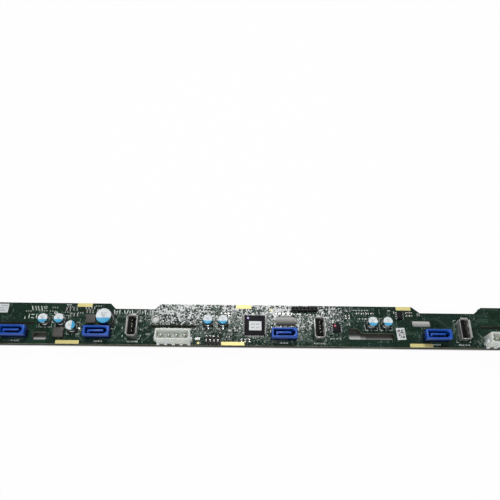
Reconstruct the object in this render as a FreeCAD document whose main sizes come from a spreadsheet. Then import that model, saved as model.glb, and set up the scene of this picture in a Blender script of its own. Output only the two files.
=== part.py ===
import FreeCAD, Part
import math
import os

import Sketcher

# Backplane board for a row of four flat-lying drives.
# Millimetres. The origin is the centre of the mounting hole on the component face,
# +X runs along the board, +Y towards the drive connector edge, +Z out of the component face.
# Stations along the board (x) and across it (y) are measured from its left front corner.

doc = FreeCAD.newDocument("drive_backplane")
sheet = doc.addObject("Spreadsheet::Sheet", "dims")

dimensions = [
    # bare board
    ("board_length", 425.0),
    ("board_width", 28.3),
    ("board_thick", 1.6),
    ("routed_corner", 0.7),
    ("mount_x", 132.1),
    ("mount_y", 17.6),
    ("mount_bore", 3.8),
    # relief notches along the rear edge
    ("notch_one_start", 101.0),
    ("notch_one_end", 135.0),
    ("notch_one_ramp", 3.7),
    ("notch_one_deep", 3.7),
    ("notch_two_start", 307.1),
    ("notch_two_end", 355.4),
    ("notch_two_ramp", 5.4),
    ("notch_two_deep", 4.4),
    # latch windows and air slots
    ("window_one_left", 51.9),
    ("window_one_right", 61.1),
    ("window_one_front", 2.7),
    ("window_one_back", 7.8),
    ("window_two_left", 213.5),
    ("window_two_right", 226.8),
    ("window_two_front", 13.8),
    ("window_two_back", 20.5),
    ("window_three_left", 306.4),
    ("window_three_right", 318.9),
    ("window_three_front", 14.2),
    ("window_three_back", 18.5),
    ("slot_length", 30.7),
    ("slot_one_left", 20.8),
    ("slot_one_front", 13.0),
    ("slot_one_back", 14.8),
    ("slot_two_left", 129.6),
    ("slot_two_front", 11.8),
    ("slot_two_back", 13.6),
    ("slot_three_left", 262.4),
    ("slot_three_front", 4.9),
    ("slot_three_back", 9.4),
    ("slot_three_step", 12.5),
    ("slot_three_wide", 6.5),
    ("slot_three_ramp", 2.5),
    ("slot_four_left", 352.5),
    ("slot_four_front", 13.2),
    ("slot_four_back", 15.0),
    # bare plated pads along both edges
    ("plating", 0.05),
    ("rear_pad_length", 10.2),
    ("rear_pad_deep", 2.6),
    ("rear_pad_one", 83.6),
    ("rear_pad_two", 191.6),
    ("rear_pad_three", 301.4),
    ("front_pad_length", 15.4),
    ("front_pad_deep", 2.4),
    ("front_pad_one", 75.3),
    ("front_pad_two", 184.6),
    ("front_pad_three", 310.7),
    # seven-way data headers
    ("data_one_x", 40.6),
    ("data_two_x", 95.3),
    ("data_three_x", 218.6),
    ("data_four_x", 320.6),
    ("data_y", 6.9),
    ("data_long", 16.9),
    ("data_deep", 6.4),
    ("data_tall", 8.5),
    ("data_floor", 1.4),
    ("data_cavity_long", 14.3),
    ("data_cavity_deep", 4.5),
    ("data_cavity_cut", 1.6),
    ("data_key_left", 5.5),
    ("data_key_right", 4.6),
    ("data_key_back", 0.75),
    ("data_key_front", 0.45),
    ("data_hook", 0.9),
    ("data_hook_thick", 1.1),
    ("data_key_tall", 7.6),
    ("data_pitch", 1.27),
    ("data_blade_wide", 0.7),
    ("data_blade_thick", 0.3),
    ("data_blade_top", 6.9),
    ("tail_depth", 1.2),
    # shielded upright receptacles
    ("port_one_x", 117.8),
    ("port_two_x", 242.2),
    ("port_three_x", 339.4),
    ("port_y", 11.3),
    ("port_wide", 5.7),
    ("port_long", 13.1),
    ("port_tall", 7.2),
    ("port_sheet", 0.3),
    ("port_flare", 0.75),
    ("port_flare_tall", 1.0),
    ("port_floor", 1.6),
    ("port_tongue_left", 2.2),
    ("port_tongue_right", 0.1),
    ("port_tongue_half", 5.6),
    ("port_tongue_top", 6.2),
    ("port_blade_wide", 1.0),
    ("port_blade_thick", 0.25),
    ("port_blade_top", 5.8),
    ("port_inner_pair", 1.0),
    ("port_outer_pair", 3.5),
    ("port_leg_wide", 1.4),
    ("port_leg_y", 4.9),
    ("port_spring_y", 2.6),
    ("port_spring_wide", 1.7),
    ("port_spring_low", 2.4),
    ("port_spring_high", 5.6),
    ("port_spring_bow", 0.8),
    # disk power headers
    ("power_one_x", 145.6),
    ("power_two_x", 364.9),
    ("power_y", 3.75),
    ("power_back_half", 11.05),
    ("power_front_half", 11.7),
    ("power_front", 3.4),
    ("power_back", 3.9),
    ("power_corner", 1.0),
    ("power_tall", 11.6),
    ("power_floor", 3.0),
    ("power_wall", 1.0),
    ("power_pitch", 5.08),
    ("power_pin_bore", 2.1),
    ("power_point_bore", 1.2),
    ("power_pin_top", 10.6),
    ("power_point", 1.4),
    ("power_tail_wide", 1.1),
    ("power_foot_wide", 1.9),
    ("power_foot_deep", 0.75),
    ("power_foot_tall", 2.2),
    ("power_rib_y", 1.2),
    ("power_rib_wide", 2.0),
    ("power_rib_out", 0.6),
    ("power_rib_tall", 7.4),
    # capacitors
    ("cap_can", 6.3),
    ("cap_base", 6.6),
    ("cap_tall", 7.4),
    ("cap_large_can", 10.0),
    ("cap_large_base", 10.3),
    ("cap_large_tall", 10.2),
    ("cap_seat", 1.0),
    ("cap_one_x", 59.1),
    ("cap_one_y", 15.3),
    ("cap_two_x", 69.6),
    ("cap_two_y", 15.4),
    ("cap_three_x", 77.9),
    ("cap_three_y", 10.6),
    ("cap_four_x", 99.6),
    ("cap_four_y", 16.4),
    ("cap_five_x", 167.8),
    ("cap_five_y", 15.6),
    ("cap_six_x", 177.9),
    ("cap_six_y", 15.6),
    ("cap_seven_x", 278.0),
    ("cap_seven_y", 15.4),
    ("cap_eight_x", 288.0),
    ("cap_eight_y", 15.5),
    # power inductors
    ("choke_tall", 2.8),
    ("choke_corner", 0.4),
    ("choke_one_x", 69.2),
    ("choke_one_y", 7.3),
    ("choke_one_long", 6.8),
    ("choke_one_deep", 6.4),
    ("choke_two_x", 89.3),
    ("choke_two_y", 16.7),
    ("choke_two_long", 6.7),
    ("choke_two_deep", 5.9),
    # enclosure controller, one hundred leads
    ("quad_x", 199.1),
    ("quad_y", 13.7),
    ("quad_side", 14.0),
    ("quad_span", 16.0),
    ("quad_pitch", 0.5),
    ("quad_lead_wide", 0.22),
    ("quad_tall", 1.5),
    # eight-lead chips
    ("memory_x", 254.4),
    ("memory_y", 12.4),
    ("memory_wide", 5.3),
    ("memory_long", 5.2),
    ("memory_span", 7.9),
    ("driver_x", 298.2),
    ("driver_y", 21.8),
    ("driver_wide", 3.9),
    ("driver_long", 4.9),
    ("driver_span", 6.0),
    ("small_pitch", 1.27),
    ("small_lead_wide", 0.42),
    ("small_tall", 1.7),
    ("lead_thick", 0.15),
    ("lead_foot", 0.6),
    # service headers
    ("row_pitch", 2.54),
    ("pin_side", 0.64),
    ("pin_block_tall", 2.5),
    ("pin_top", 7.6),
    ("jumper_x", 171.2),
    ("jumper_y", 2.75),
    ("socket_x", 233.1),
    ("socket_y", 25.4),
    ("socket_tall", 2.9),
    ("socket_deep", 3.0),
    ("socket_mouth", 1.1),
    ("socket_floor", 0.8),
    # status lamp
    ("lamp_x", 161.1),
    ("lamp_y", 4.1),
    ("lamp_long", 3.2),
    ("lamp_deep", 1.7),
    ("lamp_tall", 1.1),
    # chip resistors and chip capacitors
    ("chip_long", 1.6),
    ("chip_deep", 0.8),
    ("chip_tall", 0.5),
    # drive receptacles on the rear face
    ("drive_first", 51.95),
    ("drive_pitch", 107.0),
    ("drive_y", 24.2),
    ("drive_half", 20.5),
    ("drive_core_half", 17.9),
    ("drive_deep", 6.0),
    ("drive_lug_deep", 5.0),
    ("drive_lug_cut", 1.5),
    ("drive_tall", 9.4),
    ("drive_flange_half", 18.6),
    ("drive_flange_deep", 7.6),
    ("drive_flange_tall", 1.8),
    ("drive_standoff", 0.3),
    ("drive_slot_floor", 2.2),
    ("drive_slot_wide", 2.1),
    ("drive_signal_left", 16.9),
    ("drive_signal_right", 5.9),
    ("drive_power_left", 3.6),
    ("drive_power_right", 17.2),
    ("drive_key_wide", 1.4),
    ("drive_key_deep", 1.3),
    ("drive_groove_wide", 1.4),
    ("drive_groove_deep", 2.4),
    ("drive_pitch_fine", 1.27),
    ("drive_signal_first", 15.2),
    ("drive_power_first", 1.9),
    ("drive_spring_wide", 0.6),
    ("drive_spring_thick", 0.25),
    ("drive_spring_reach", 8.2),
    ("drive_peg_bore", 1.1),
    ("drive_peg_half", 18.55),
    ("drive_peg_y", 24.7),
]

row = 0
for name, value in dimensions:
    row += 1
    sheet.set("A%d" % row, name)
    sheet.set("B%d" % row, str(value))
    sheet.setAlias("B%d" % row, name)
doc.recompute()


def plane_of(body, role):
    for feature in body.Origin.OriginFeatures:
        if feature.Role == role:
            return feature
    raise RuntimeError(role)


def start_sketch(body, name, role, height):
    sketch = body.newObject("Sketcher::SketchObject", name)
    sketch.AttachmentSupport = [(plane_of(body, role), "")]
    sketch.MapMode = "FlatFace"
    if height:
        sketch.setExpression("AttachmentOffset.Base.z", height)
    return sketch


def bind(sketch, labels, constraints, expressions):
    # Adds the constraints in one step, then ties each labelled one to its expression.
    added = sketch.addConstraint(constraints)
    for index, label, expression in zip(added, labels, expressions):
        if label:
            sketch.renameConstraint(index, label)
            sketch.setExpression("Constraints." + label, expression)


def closed_outline(sketch, corners):
    # One closed loop of straight lines; each corner is tied to the origin by two bound distances.
    first = sketch.GeometryCount
    count = len(corners)
    start = []
    for number in range(count):
        angle = 2 * math.pi * number / count
        start.append(FreeCAD.Vector(10 * math.cos(angle), 10 * math.sin(angle), 0))
    lines = []
    for number in range(count):
        lines.append(Part.LineSegment(start[number], start[(number + 1) % count]))
    sketch.addGeometry(lines, False)
    labels = []
    constraints = []
    expressions = []
    for number in range(count):
        here = first + number
        after = first + (number + 1) % count
        labels += [None, "across%d" % here, "along%d" % here]
        constraints.append(Sketcher.Constraint("Coincident", here, 2, after, 1))
        constraints.append(Sketcher.Constraint("DistanceX", -1, 1, here, 1, start[number].x))
        constraints.append(Sketcher.Constraint("DistanceY", -1, 1, here, 1, start[number].y))
        expressions += [None, corners[number][0], corners[number][1]]
    bind(sketch, labels, constraints, expressions)


def rectangle(sketch, left, front, right, back):
    closed_outline(sketch, [(left, front), (right, front), (right, back), (left, back)])


def centred(sketch, long, deep):
    rectangle(sketch, "-(%s) / 2" % long, "-(%s) / 2" % deep, "(%s) / 2" % long, "(%s) / 2" % deep)


def circle(sketch, centre_x, centre_y, bore):
    here = sketch.addGeometry(Part.Circle(FreeCAD.Vector(1, 1, 0), FreeCAD.Vector(0, 0, 1), 1), False)
    constraints = [
        Sketcher.Constraint("DistanceX", -1, 1, here, 3, 1),
        Sketcher.Constraint("DistanceY", -1, 1, here, 3, 1),
        Sketcher.Constraint("Diameter", here, 2),
    ]
    labels = ["across%d" % here, "along%d" % here, "bore%d" % here]
    bind(sketch, labels, constraints, [centre_x, centre_y, bore])


def many_sided(sketch, centre_x, centre_y, bore):
    # A small round drawn with twelve flats.
    corners = []
    for number in range(12):
        angle = 30 * number + 15
        corners.append(("%s + %s / 2 * cos(%d deg)" % (centre_x, bore, angle),
                        "%s + %s / 2 * sin(%d deg)" % (centre_y, bore, angle)))
    closed_outline(sketch, corners)


def pad(body, name, sketch, length, both=False, back=False, taper=None):
    feature = body.newObject("PartDesign::Pad", name)
    feature.Profile = sketch
    feature.Midplane = both
    feature.Reversed = back
    feature.setExpression("Length", length)
    if taper:
        feature.TaperAngle = taper
    body.Tip = feature
    doc.recompute()
    return feature


def pocket(body, name, sketch, length, both=False, back=False, taper=None):
    before = body.Shape.Volume
    feature = body.newObject("PartDesign::Pocket", name)
    feature.Profile = sketch
    feature.Refine = False
    feature.Midplane = both
    feature.Reversed = back
    feature.setExpression("Length", length)
    if taper:
        feature.TaperAngle = taper
    body.Tip = feature
    doc.recompute()
    if body.Shape.Volume > before - 0.0001:
        raise RuntimeError(body.Name + " " + name + " removed nothing")
    return feature


def repeat(body, name, feature, role, length, count):
    pattern = body.newObject("PartDesign::LinearPattern", name)
    pattern.Originals = [feature]
    pattern.Direction = (plane_of(body, role), [""])
    pattern.setExpression("Length", length)
    pattern.Occurrences = count
    pattern.Refine = False
    body.Tip = pattern
    doc.recompute()
    return pattern


def upright_edges(shape, low, high):
    found = []
    for number, edge in enumerate(shape.Edges):
        if len(edge.Vertexes) != 2:
            continue
        one = edge.Vertexes[0].Point
        two = edge.Vertexes[1].Point
        level = abs(one.x - two.x) < 0.001 and abs(one.y - two.y) < 0.001
        bottom = min(one.z, two.z)
        top = max(one.z, two.z)
        if level and abs(bottom - low) < 0.01 and abs(top - high) < 0.01:
            found.append("Edge%d" % (number + 1))
    return found


def edge_corners(shape):
    # Upright edges on the board's own outline, which keep their sharp corners.
    limit = shape.BoundBox
    found = []
    for number, edge in enumerate(shape.Edges):
        spot = edge.Vertexes[0].Point
        inside = limit.XMin + 1 < spot.x < limit.XMax - 1 and limit.YMin + 1 < spot.y < limit.YMax - 5
        if not inside:
            found.append("Edge%d" % (number + 1))
    return found


def dress(body, kind, name, base, edges, size):
    feature = body.newObject("PartDesign::" + kind, name)
    feature.Base = (base, edges)
    feature.setExpression("Radius" if kind == "Fillet" else "Size", size)
    body.Tip = feature
    doc.recompute()
    return feature


def new_body(name, station_x, station_y, height=None, turn=None):
    body = doc.addObject("PartDesign::Body", name)
    body.AllowCompound = True
    body.Label = name
    body.setExpression("Placement.Base.x", "%s - dims.mount_x" % station_x)
    body.setExpression("Placement.Base.y", "%s - dims.mount_y" % station_y)
    if height:
        body.setExpression("Placement.Base.z", height)
    if turn:
        body.setExpression("Placement.Rotation.Angle", turn)
    return body


parts = []

# ---------------------------------------------------------------- bare board
board = new_body("board", "0", "0")
outline = start_sketch(board, "board_outline", "XY_Plane", "-dims.board_thick")
closed_outline(outline, [
    ("0", "0"),
    ("dims.board_length", "0"),
    ("dims.board_length", "dims.board_width"),
    ("dims.notch_two_end", "dims.board_width"),
    ("dims.notch_two_end - dims.notch_two_ramp", "dims.board_width - dims.notch_two_deep"),
    ("dims.notch_two_start + dims.notch_two_ramp", "dims.board_width - dims.notch_two_deep"),
    ("dims.notch_two_start", "dims.board_width"),
    ("dims.notch_one_end", "dims.board_width"),
    ("dims.notch_one_end - dims.notch_one_ramp", "dims.board_width - dims.notch_one_deep"),
    ("dims.notch_one_start + dims.notch_one_ramp", "dims.board_width - dims.notch_one_deep"),
    ("dims.notch_one_start", "dims.board_width"),
    ("0", "dims.board_width"),
])
laminate = pad(board, "laminate", outline, "dims.board_thick")

openings = start_sketch(board, "routed_openings", "XY_Plane", None)
for window in ("one", "two", "three"):
    rectangle(openings, "dims.window_%s_left" % window, "dims.window_%s_front" % window,
              "dims.window_%s_right" % window, "dims.window_%s_back" % window)
for slot in ("one", "two", "four"):
    rectangle(openings, "dims.slot_%s_left" % slot, "dims.slot_%s_front" % slot,
              "dims.slot_%s_left + dims.slot_length" % slot, "dims.slot_%s_back" % slot)
step_end = "dims.slot_three_left + dims.slot_three_wide"
closed_outline(openings, [
    ("dims.slot_three_left", "dims.slot_three_front"),
    ("dims.slot_three_left + dims.slot_length", "dims.slot_three_front"),
    ("dims.slot_three_left + dims.slot_length", "dims.slot_three_back"),
    (step_end + " + dims.slot_three_ramp", "dims.slot_three_back"),
    (step_end, "dims.slot_three_step"),
    ("dims.slot_three_left", "dims.slot_three_step"),
])
routed = pocket(board, "routing", openings, "dims.board_thick")
corners = upright_edges(board.Shape, -1.6, 0.0)
corners = [name for name in corners if name not in edge_corners(board.Shape)]
dress(board, "Chamfer", "cutter_corners", routed, corners, "dims.routed_corner")

pads = start_sketch(board, "plated_pads", "XY_Plane", None)
for number in ("one", "two", "three"):
    centre = "dims.rear_pad_%s" % number
    rectangle(pads, centre + " - dims.rear_pad_length / 2", "dims.board_width - dims.rear_pad_deep",
              centre + " + dims.rear_pad_length / 2", "dims.board_width")
    centre = "dims.front_pad_%s" % number
    rectangle(pads, centre + " - dims.front_pad_length / 2", "0",
              centre + " + dims.front_pad_length / 2", "dims.front_pad_deep")
pad(board, "edge_plating", pads, "dims.plating")

drilled = start_sketch(board, "mounting_hole_outline", "XY_Plane", None)
circle(drilled, "dims.mount_x", "dims.mount_y", "dims.mount_bore")
pocket(board, "mounting_hole_drilling", drilled, "dims.board_thick")
for side, word in (("-", "left"), ("+", "right")):
    peg_hole = start_sketch(board, "peg_hole_" + word, "XY_Plane", None)
    many_sided(peg_hole, "dims.drive_first %s dims.drive_peg_half" % side, "dims.drive_peg_y",
               "dims.drive_peg_bore")
    peg_drilling = pocket(board, "peg_drilling_" + word, peg_hole, "dims.board_thick")
    repeat(board, "peg_drillings_" + word, peg_drilling, "X_Axis", "3 * dims.drive_pitch", 4)


def lead_rows(name, firsts, wide, deep, pitch, count):
    # Rows of plated lead holes on one pitch, each hole filled by its lead.
    sketch = start_sketch(board, name + "_first", "XY_Plane", None)
    for left, front in firsts:
        rectangle(sketch, "%s - %s / 2" % (left, wide), "%s - %s / 2" % (front, deep),
                  "%s + %s / 2" % (left, wide), "%s + %s / 2" % (front, deep))
    first = pocket(board, name + "_hole", sketch, "dims.board_thick")
    repeat(board, name + "_holes", first, "X_Axis", "%s * %d" % (pitch, count - 1), count)


data_names = ("one", "two", "three", "four")
data_blade_y = "(-dims.data_key_front - dims.data_blade_thick / 2)"
data_first = ("((dims.data_key_right - dims.data_key_left) / 2"
              " + dims.data_hook_thick / 2 - 3 * dims.data_pitch)")
data_starts = []
for number in data_names:
    data_starts.append(("dims.data_%s_x + %s" % (number, data_first), "dims.data_y + " + data_blade_y))
lead_rows("data", data_starts, "dims.data_blade_wide", "dims.data_blade_thick", "dims.data_pitch", 7)
power_starts = []
for number in ("one", "two"):
    power_starts.append(("dims.power_%s_x - 1.5 * dims.power_pitch" % number, "dims.power_y"))
lead_rows("power", power_starts, "dims.power_tail_wide", "dims.power_tail_wide", "dims.power_pitch", 4)
jumper_starts = []
for sign in ("-", "+"):
    jumper_starts.append(("dims.jumper_x - 1.5 * dims.row_pitch",
                          "dims.jumper_y %s dims.row_pitch / 2" % sign))
lead_rows("jumper", jumper_starts, "dims.pin_side", "dims.pin_side", "dims.row_pitch", 4)
socket_starts = [("dims.socket_x - 3 * dims.row_pitch", "dims.socket_y")]
lead_rows("socket", socket_starts, "dims.pin_side", "dims.pin_side", "dims.row_pitch", 7)

port_blade_x = "(dims.port_tongue_right + dims.port_blade_thick / 2)"
port_leg_x = "(dims.port_wide / 2 - dims.port_sheet / 2)"
for number in ("one", "two", "three"):
    port_holes = start_sketch(board, "port_%s_lead_holes" % number, "XY_Plane", None)
    middle = "dims.port_%s_x + %s" % (number, port_blade_x)
    for row_place in ("- dims.port_outer_pair", "- dims.port_inner_pair",
                      "+ dims.port_inner_pair", "+ dims.port_outer_pair"):
        rectangle(port_holes, middle + " - dims.port_blade_thick / 2",
                  "dims.port_y %s - dims.port_blade_wide / 2" % row_place,
                  middle + " + dims.port_blade_thick / 2",
                  "dims.port_y %s + dims.port_blade_wide / 2" % row_place)
    for side in ("-", "+"):
        middle_leg = "dims.port_%s_x %s %s" % (number, side, port_leg_x)
        for end in ("-", "+"):
            rectangle(port_holes, middle_leg + " - dims.port_sheet / 2",
                      "dims.port_y %s dims.port_leg_y - dims.port_leg_wide / 2" % end,
                      middle_leg + " + dims.port_sheet / 2",
                      "dims.port_y %s dims.port_leg_y + dims.port_leg_wide / 2" % end)
    pocket(board, "port_%s_drilling" % number, port_holes, "dims.board_thick")
parts.append(board)

# ---------------------------------------------------------------- seven-way data headers
for place, number in enumerate(data_names):
    housing = new_body("data_header_%d" % (place + 1), "dims.data_%s_x" % number, "dims.data_y")
    block = start_sketch(housing, "header%d_outline" % (place + 1), "XY_Plane", None)
    centred(block, "dims.data_long", "dims.data_deep")
    body_pad = pad(housing, "header%d_block" % (place + 1), block, "dims.data_tall")
    cavity = start_sketch(housing, "header%d_cavity" % (place + 1), "XY_Plane", "dims.data_tall")
    closed_outline(cavity, [
        ("-dims.data_cavity_long / 2", "-dims.data_cavity_deep / 2"),
        ("dims.data_cavity_long / 2 - dims.data_cavity_cut", "-dims.data_cavity_deep / 2"),
        ("dims.data_cavity_long / 2", "-dims.data_cavity_deep / 2 + dims.data_cavity_cut"),
        ("dims.data_cavity_long / 2", "dims.data_cavity_deep / 2 - dims.data_cavity_cut"),
        ("dims.data_cavity_long / 2 - dims.data_cavity_cut", "dims.data_cavity_deep / 2"),
        ("-dims.data_cavity_long / 2", "dims.data_cavity_deep / 2"),
    ])
    pocket(housing, "header%d_well" % (place + 1), cavity, "dims.data_tall - dims.data_floor")
    key = start_sketch(housing, "header%d_key_outline" % (place + 1), "XY_Plane", "dims.data_floor")
    closed_outline(key, [
        ("-dims.data_key_left", "dims.data_key_back"),
        ("-dims.data_key_left", "-dims.data_key_front - dims.data_hook"),
        ("-dims.data_key_left + dims.data_hook_thick", "-dims.data_key_front - dims.data_hook"),
        ("-dims.data_key_left + dims.data_hook_thick", "-dims.data_key_front"),
        ("dims.data_key_right", "-dims.data_key_front"),
        ("dims.data_key_right", "dims.data_key_back"),
    ])
    pad(housing, "header%d_key" % (place + 1), key, "dims.data_key_tall - dims.data_floor")
    vent = start_sketch(housing, "header%d_blade_slot" % (place + 1), "XY_Plane", "dims.data_floor")
    rectangle(vent, data_first + " - dims.data_blade_wide / 2",
              "-dims.data_key_front - dims.data_blade_thick",
              data_first + " + 6 * dims.data_pitch + dims.data_blade_wide / 2", "-dims.data_key_front")
    pocket(housing, "header%d_slot" % (place + 1), vent, "dims.data_floor")
    parts.append(housing)

    blades = new_body("data_contacts_%d" % (place + 1), "dims.data_%s_x" % number, "dims.data_y")
    blade = start_sketch(blades, "blade%d_outline" % (place + 1), "XY_Plane",
                         "-dims.board_thick - dims.tail_depth")
    rectangle(blade, data_first + " - dims.data_blade_wide / 2",
              "-dims.data_key_front - dims.data_blade_thick",
              data_first + " + dims.data_blade_wide / 2", "-dims.data_key_front")
    one_blade = pad(blades, "blade%d" % (place + 1), blade,
                    "dims.board_thick + dims.tail_depth + dims.data_blade_top")
    repeat(blades, "blade%d_row" % (place + 1), one_blade, "X_Axis", "6 * dims.data_pitch", 7)
    parts.append(blades)

# ---------------------------------------------------------------- shielded upright receptacles
for place, number in enumerate(("one", "two", "three")):
    tag = "port%d_" % (place + 1)
    shell = new_body("port_shell_%d" % (place + 1), "dims.port_%s_x" % number, "dims.port_y")
    wall = start_sketch(shell, tag + "wall_outline", "XY_Plane", None)
    centred(wall, "dims.port_wide", "dims.port_long")
    centred(wall, "dims.port_wide - 2 * dims.port_sheet", "dims.port_long - 2 * dims.port_sheet")
    pad(shell, tag + "wall", wall, "dims.port_tall - dims.port_flare_tall")
    lip = start_sketch(shell, tag + "lip_outline", "XZ_Plane", None)
    for end in ("-", "+"):
        closed_outline(lip, [
            ("%s(dims.port_wide / 2 - dims.port_sheet)" % end, "dims.port_tall - dims.port_flare_tall"),
            ("%s(dims.port_wide / 2)" % end, "dims.port_tall - dims.port_flare_tall"),
            ("%s(dims.port_wide / 2 + dims.port_flare)" % end, "dims.port_tall"),
            ("%s(dims.port_wide / 2 + dims.port_flare - dims.port_sheet)" % end, "dims.port_tall"),
        ])
    pad(shell, tag + "side_lips", lip, "dims.port_long - 3 * dims.port_sheet", both=True)
    end_lip = start_sketch(shell, tag + "end_lip_outline", "YZ_Plane", None)
    for end in ("-", "+"):
        closed_outline(end_lip, [
            ("%s(dims.port_long / 2 - dims.port_sheet)" % end, "dims.port_tall - dims.port_flare_tall"),
            ("%s(dims.port_long / 2)" % end, "dims.port_tall - dims.port_flare_tall"),
            ("%s(dims.port_long / 2 + dims.port_flare)" % end, "dims.port_tall"),
            ("%s(dims.port_long / 2 + dims.port_flare - dims.port_sheet)" % end, "dims.port_tall"),
        ])
    pad(shell, tag + "end_lips", end_lip, "dims.port_wide - 3 * dims.port_sheet", both=True)
    gate = start_sketch(shell, tag + "spring_windows", "YZ_Plane", "dims.port_wide / 2 - dims.port_sheet")
    for end in ("-", "+"):
        rectangle(gate, "%s dims.port_spring_y - dims.port_spring_wide / 2 - 0.25" % end,
                  "dims.port_spring_low",
                  "%s dims.port_spring_y + dims.port_spring_wide / 2 + 0.25" % end,
                  "dims.port_spring_high")
    pocket(shell, tag + "spring_cuts", gate, "dims.port_sheet", back=True)
    spring = start_sketch(shell, tag + "spring_outline", "XZ_Plane", "dims.port_spring_y")
    closed_outline(spring, [
        ("dims.port_wide / 2 - dims.port_sheet", "dims.port_spring_low - 0.1"),
        ("dims.port_wide / 2", "dims.port_spring_low - 0.1"),
        ("dims.port_wide / 2 - dims.port_spring_bow + 0.2", "dims.port_spring_high - 1.0"),
        ("dims.port_wide / 2 - 0.2", "dims.port_spring_high - 0.3"),
        ("dims.port_wide / 2 - 0.4", "dims.port_spring_high - 0.15"),
        ("dims.port_wide / 2 - dims.port_spring_bow", "dims.port_spring_high - 0.9"),
    ])
    spring_pad = pad(shell, tag + "spring", spring, "dims.port_spring_wide", both=True)
    repeat(shell, tag + "springs", spring_pad, "Y_Axis", "2 * dims.port_spring_y", 2)
    leg = start_sketch(shell, tag + "leg_outline", "XY_Plane", None)
    for side in ("-", "+"):
        for end in ("-", "+"):
            rectangle(leg, "%s %s - dims.port_sheet / 2" % (side, port_leg_x),
                      "%s dims.port_leg_y - dims.port_leg_wide / 2" % end,
                      "%s %s + dims.port_sheet / 2" % (side, port_leg_x),
                      "%s dims.port_leg_y + dims.port_leg_wide / 2" % end)
    pad(shell, tag + "legs", leg, "dims.board_thick + dims.tail_depth", back=True)
    parts.append(shell)

    insert = new_body("port_insulator_%d" % (place + 1), "dims.port_%s_x" % number, "dims.port_y")
    foot = start_sketch(insert, tag + "foot_outline", "XY_Plane", None)
    centred(foot, "dims.port_wide - 2 * dims.port_sheet", "dims.port_long - 2 * dims.port_sheet")
    pad(insert, tag + "foot", foot, "dims.port_floor")
    tongue = start_sketch(insert, tag + "tongue_outline", "XY_Plane", None)
    rectangle(tongue, "-dims.port_tongue_left", "-dims.port_tongue_half",
              "dims.port_tongue_right", "dims.port_tongue_half")
    pad(insert, tag + "tongue", tongue, "dims.port_tongue_top")
    blade_slots = start_sketch(insert, tag + "blade_slots", "XY_Plane", None)
    for row_place in ("-dims.port_outer_pair", "-dims.port_inner_pair",
                      "dims.port_inner_pair", "dims.port_outer_pair"):
        rectangle(blade_slots, "dims.port_tongue_right", row_place + " - dims.port_blade_wide / 2",
                  "dims.port_tongue_right + dims.port_blade_thick",
                  row_place + " + dims.port_blade_wide / 2")
    pocket(insert, tag + "blade_ways", blade_slots, "dims.port_floor", back=True)
    parts.append(insert)

    fingers = new_body("port_contacts_%d" % (place + 1), "dims.port_%s_x" % number, "dims.port_y")
    finger = start_sketch(fingers, tag + "blade_outline", "XY_Plane",
                          "-dims.board_thick - dims.tail_depth")
    for row_place in ("-dims.port_outer_pair", "-dims.port_inner_pair",
                      "dims.port_inner_pair", "dims.port_outer_pair"):
        rectangle(finger, "dims.port_tongue_right", row_place + " - dims.port_blade_wide / 2",
                  "dims.port_tongue_right + dims.port_blade_thick",
                  row_place + " + dims.port_blade_wide / 2")
    pad(fingers, tag + "blades", finger, "dims.board_thick + dims.tail_depth + dims.port_blade_top")
    parts.append(fingers)

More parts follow.
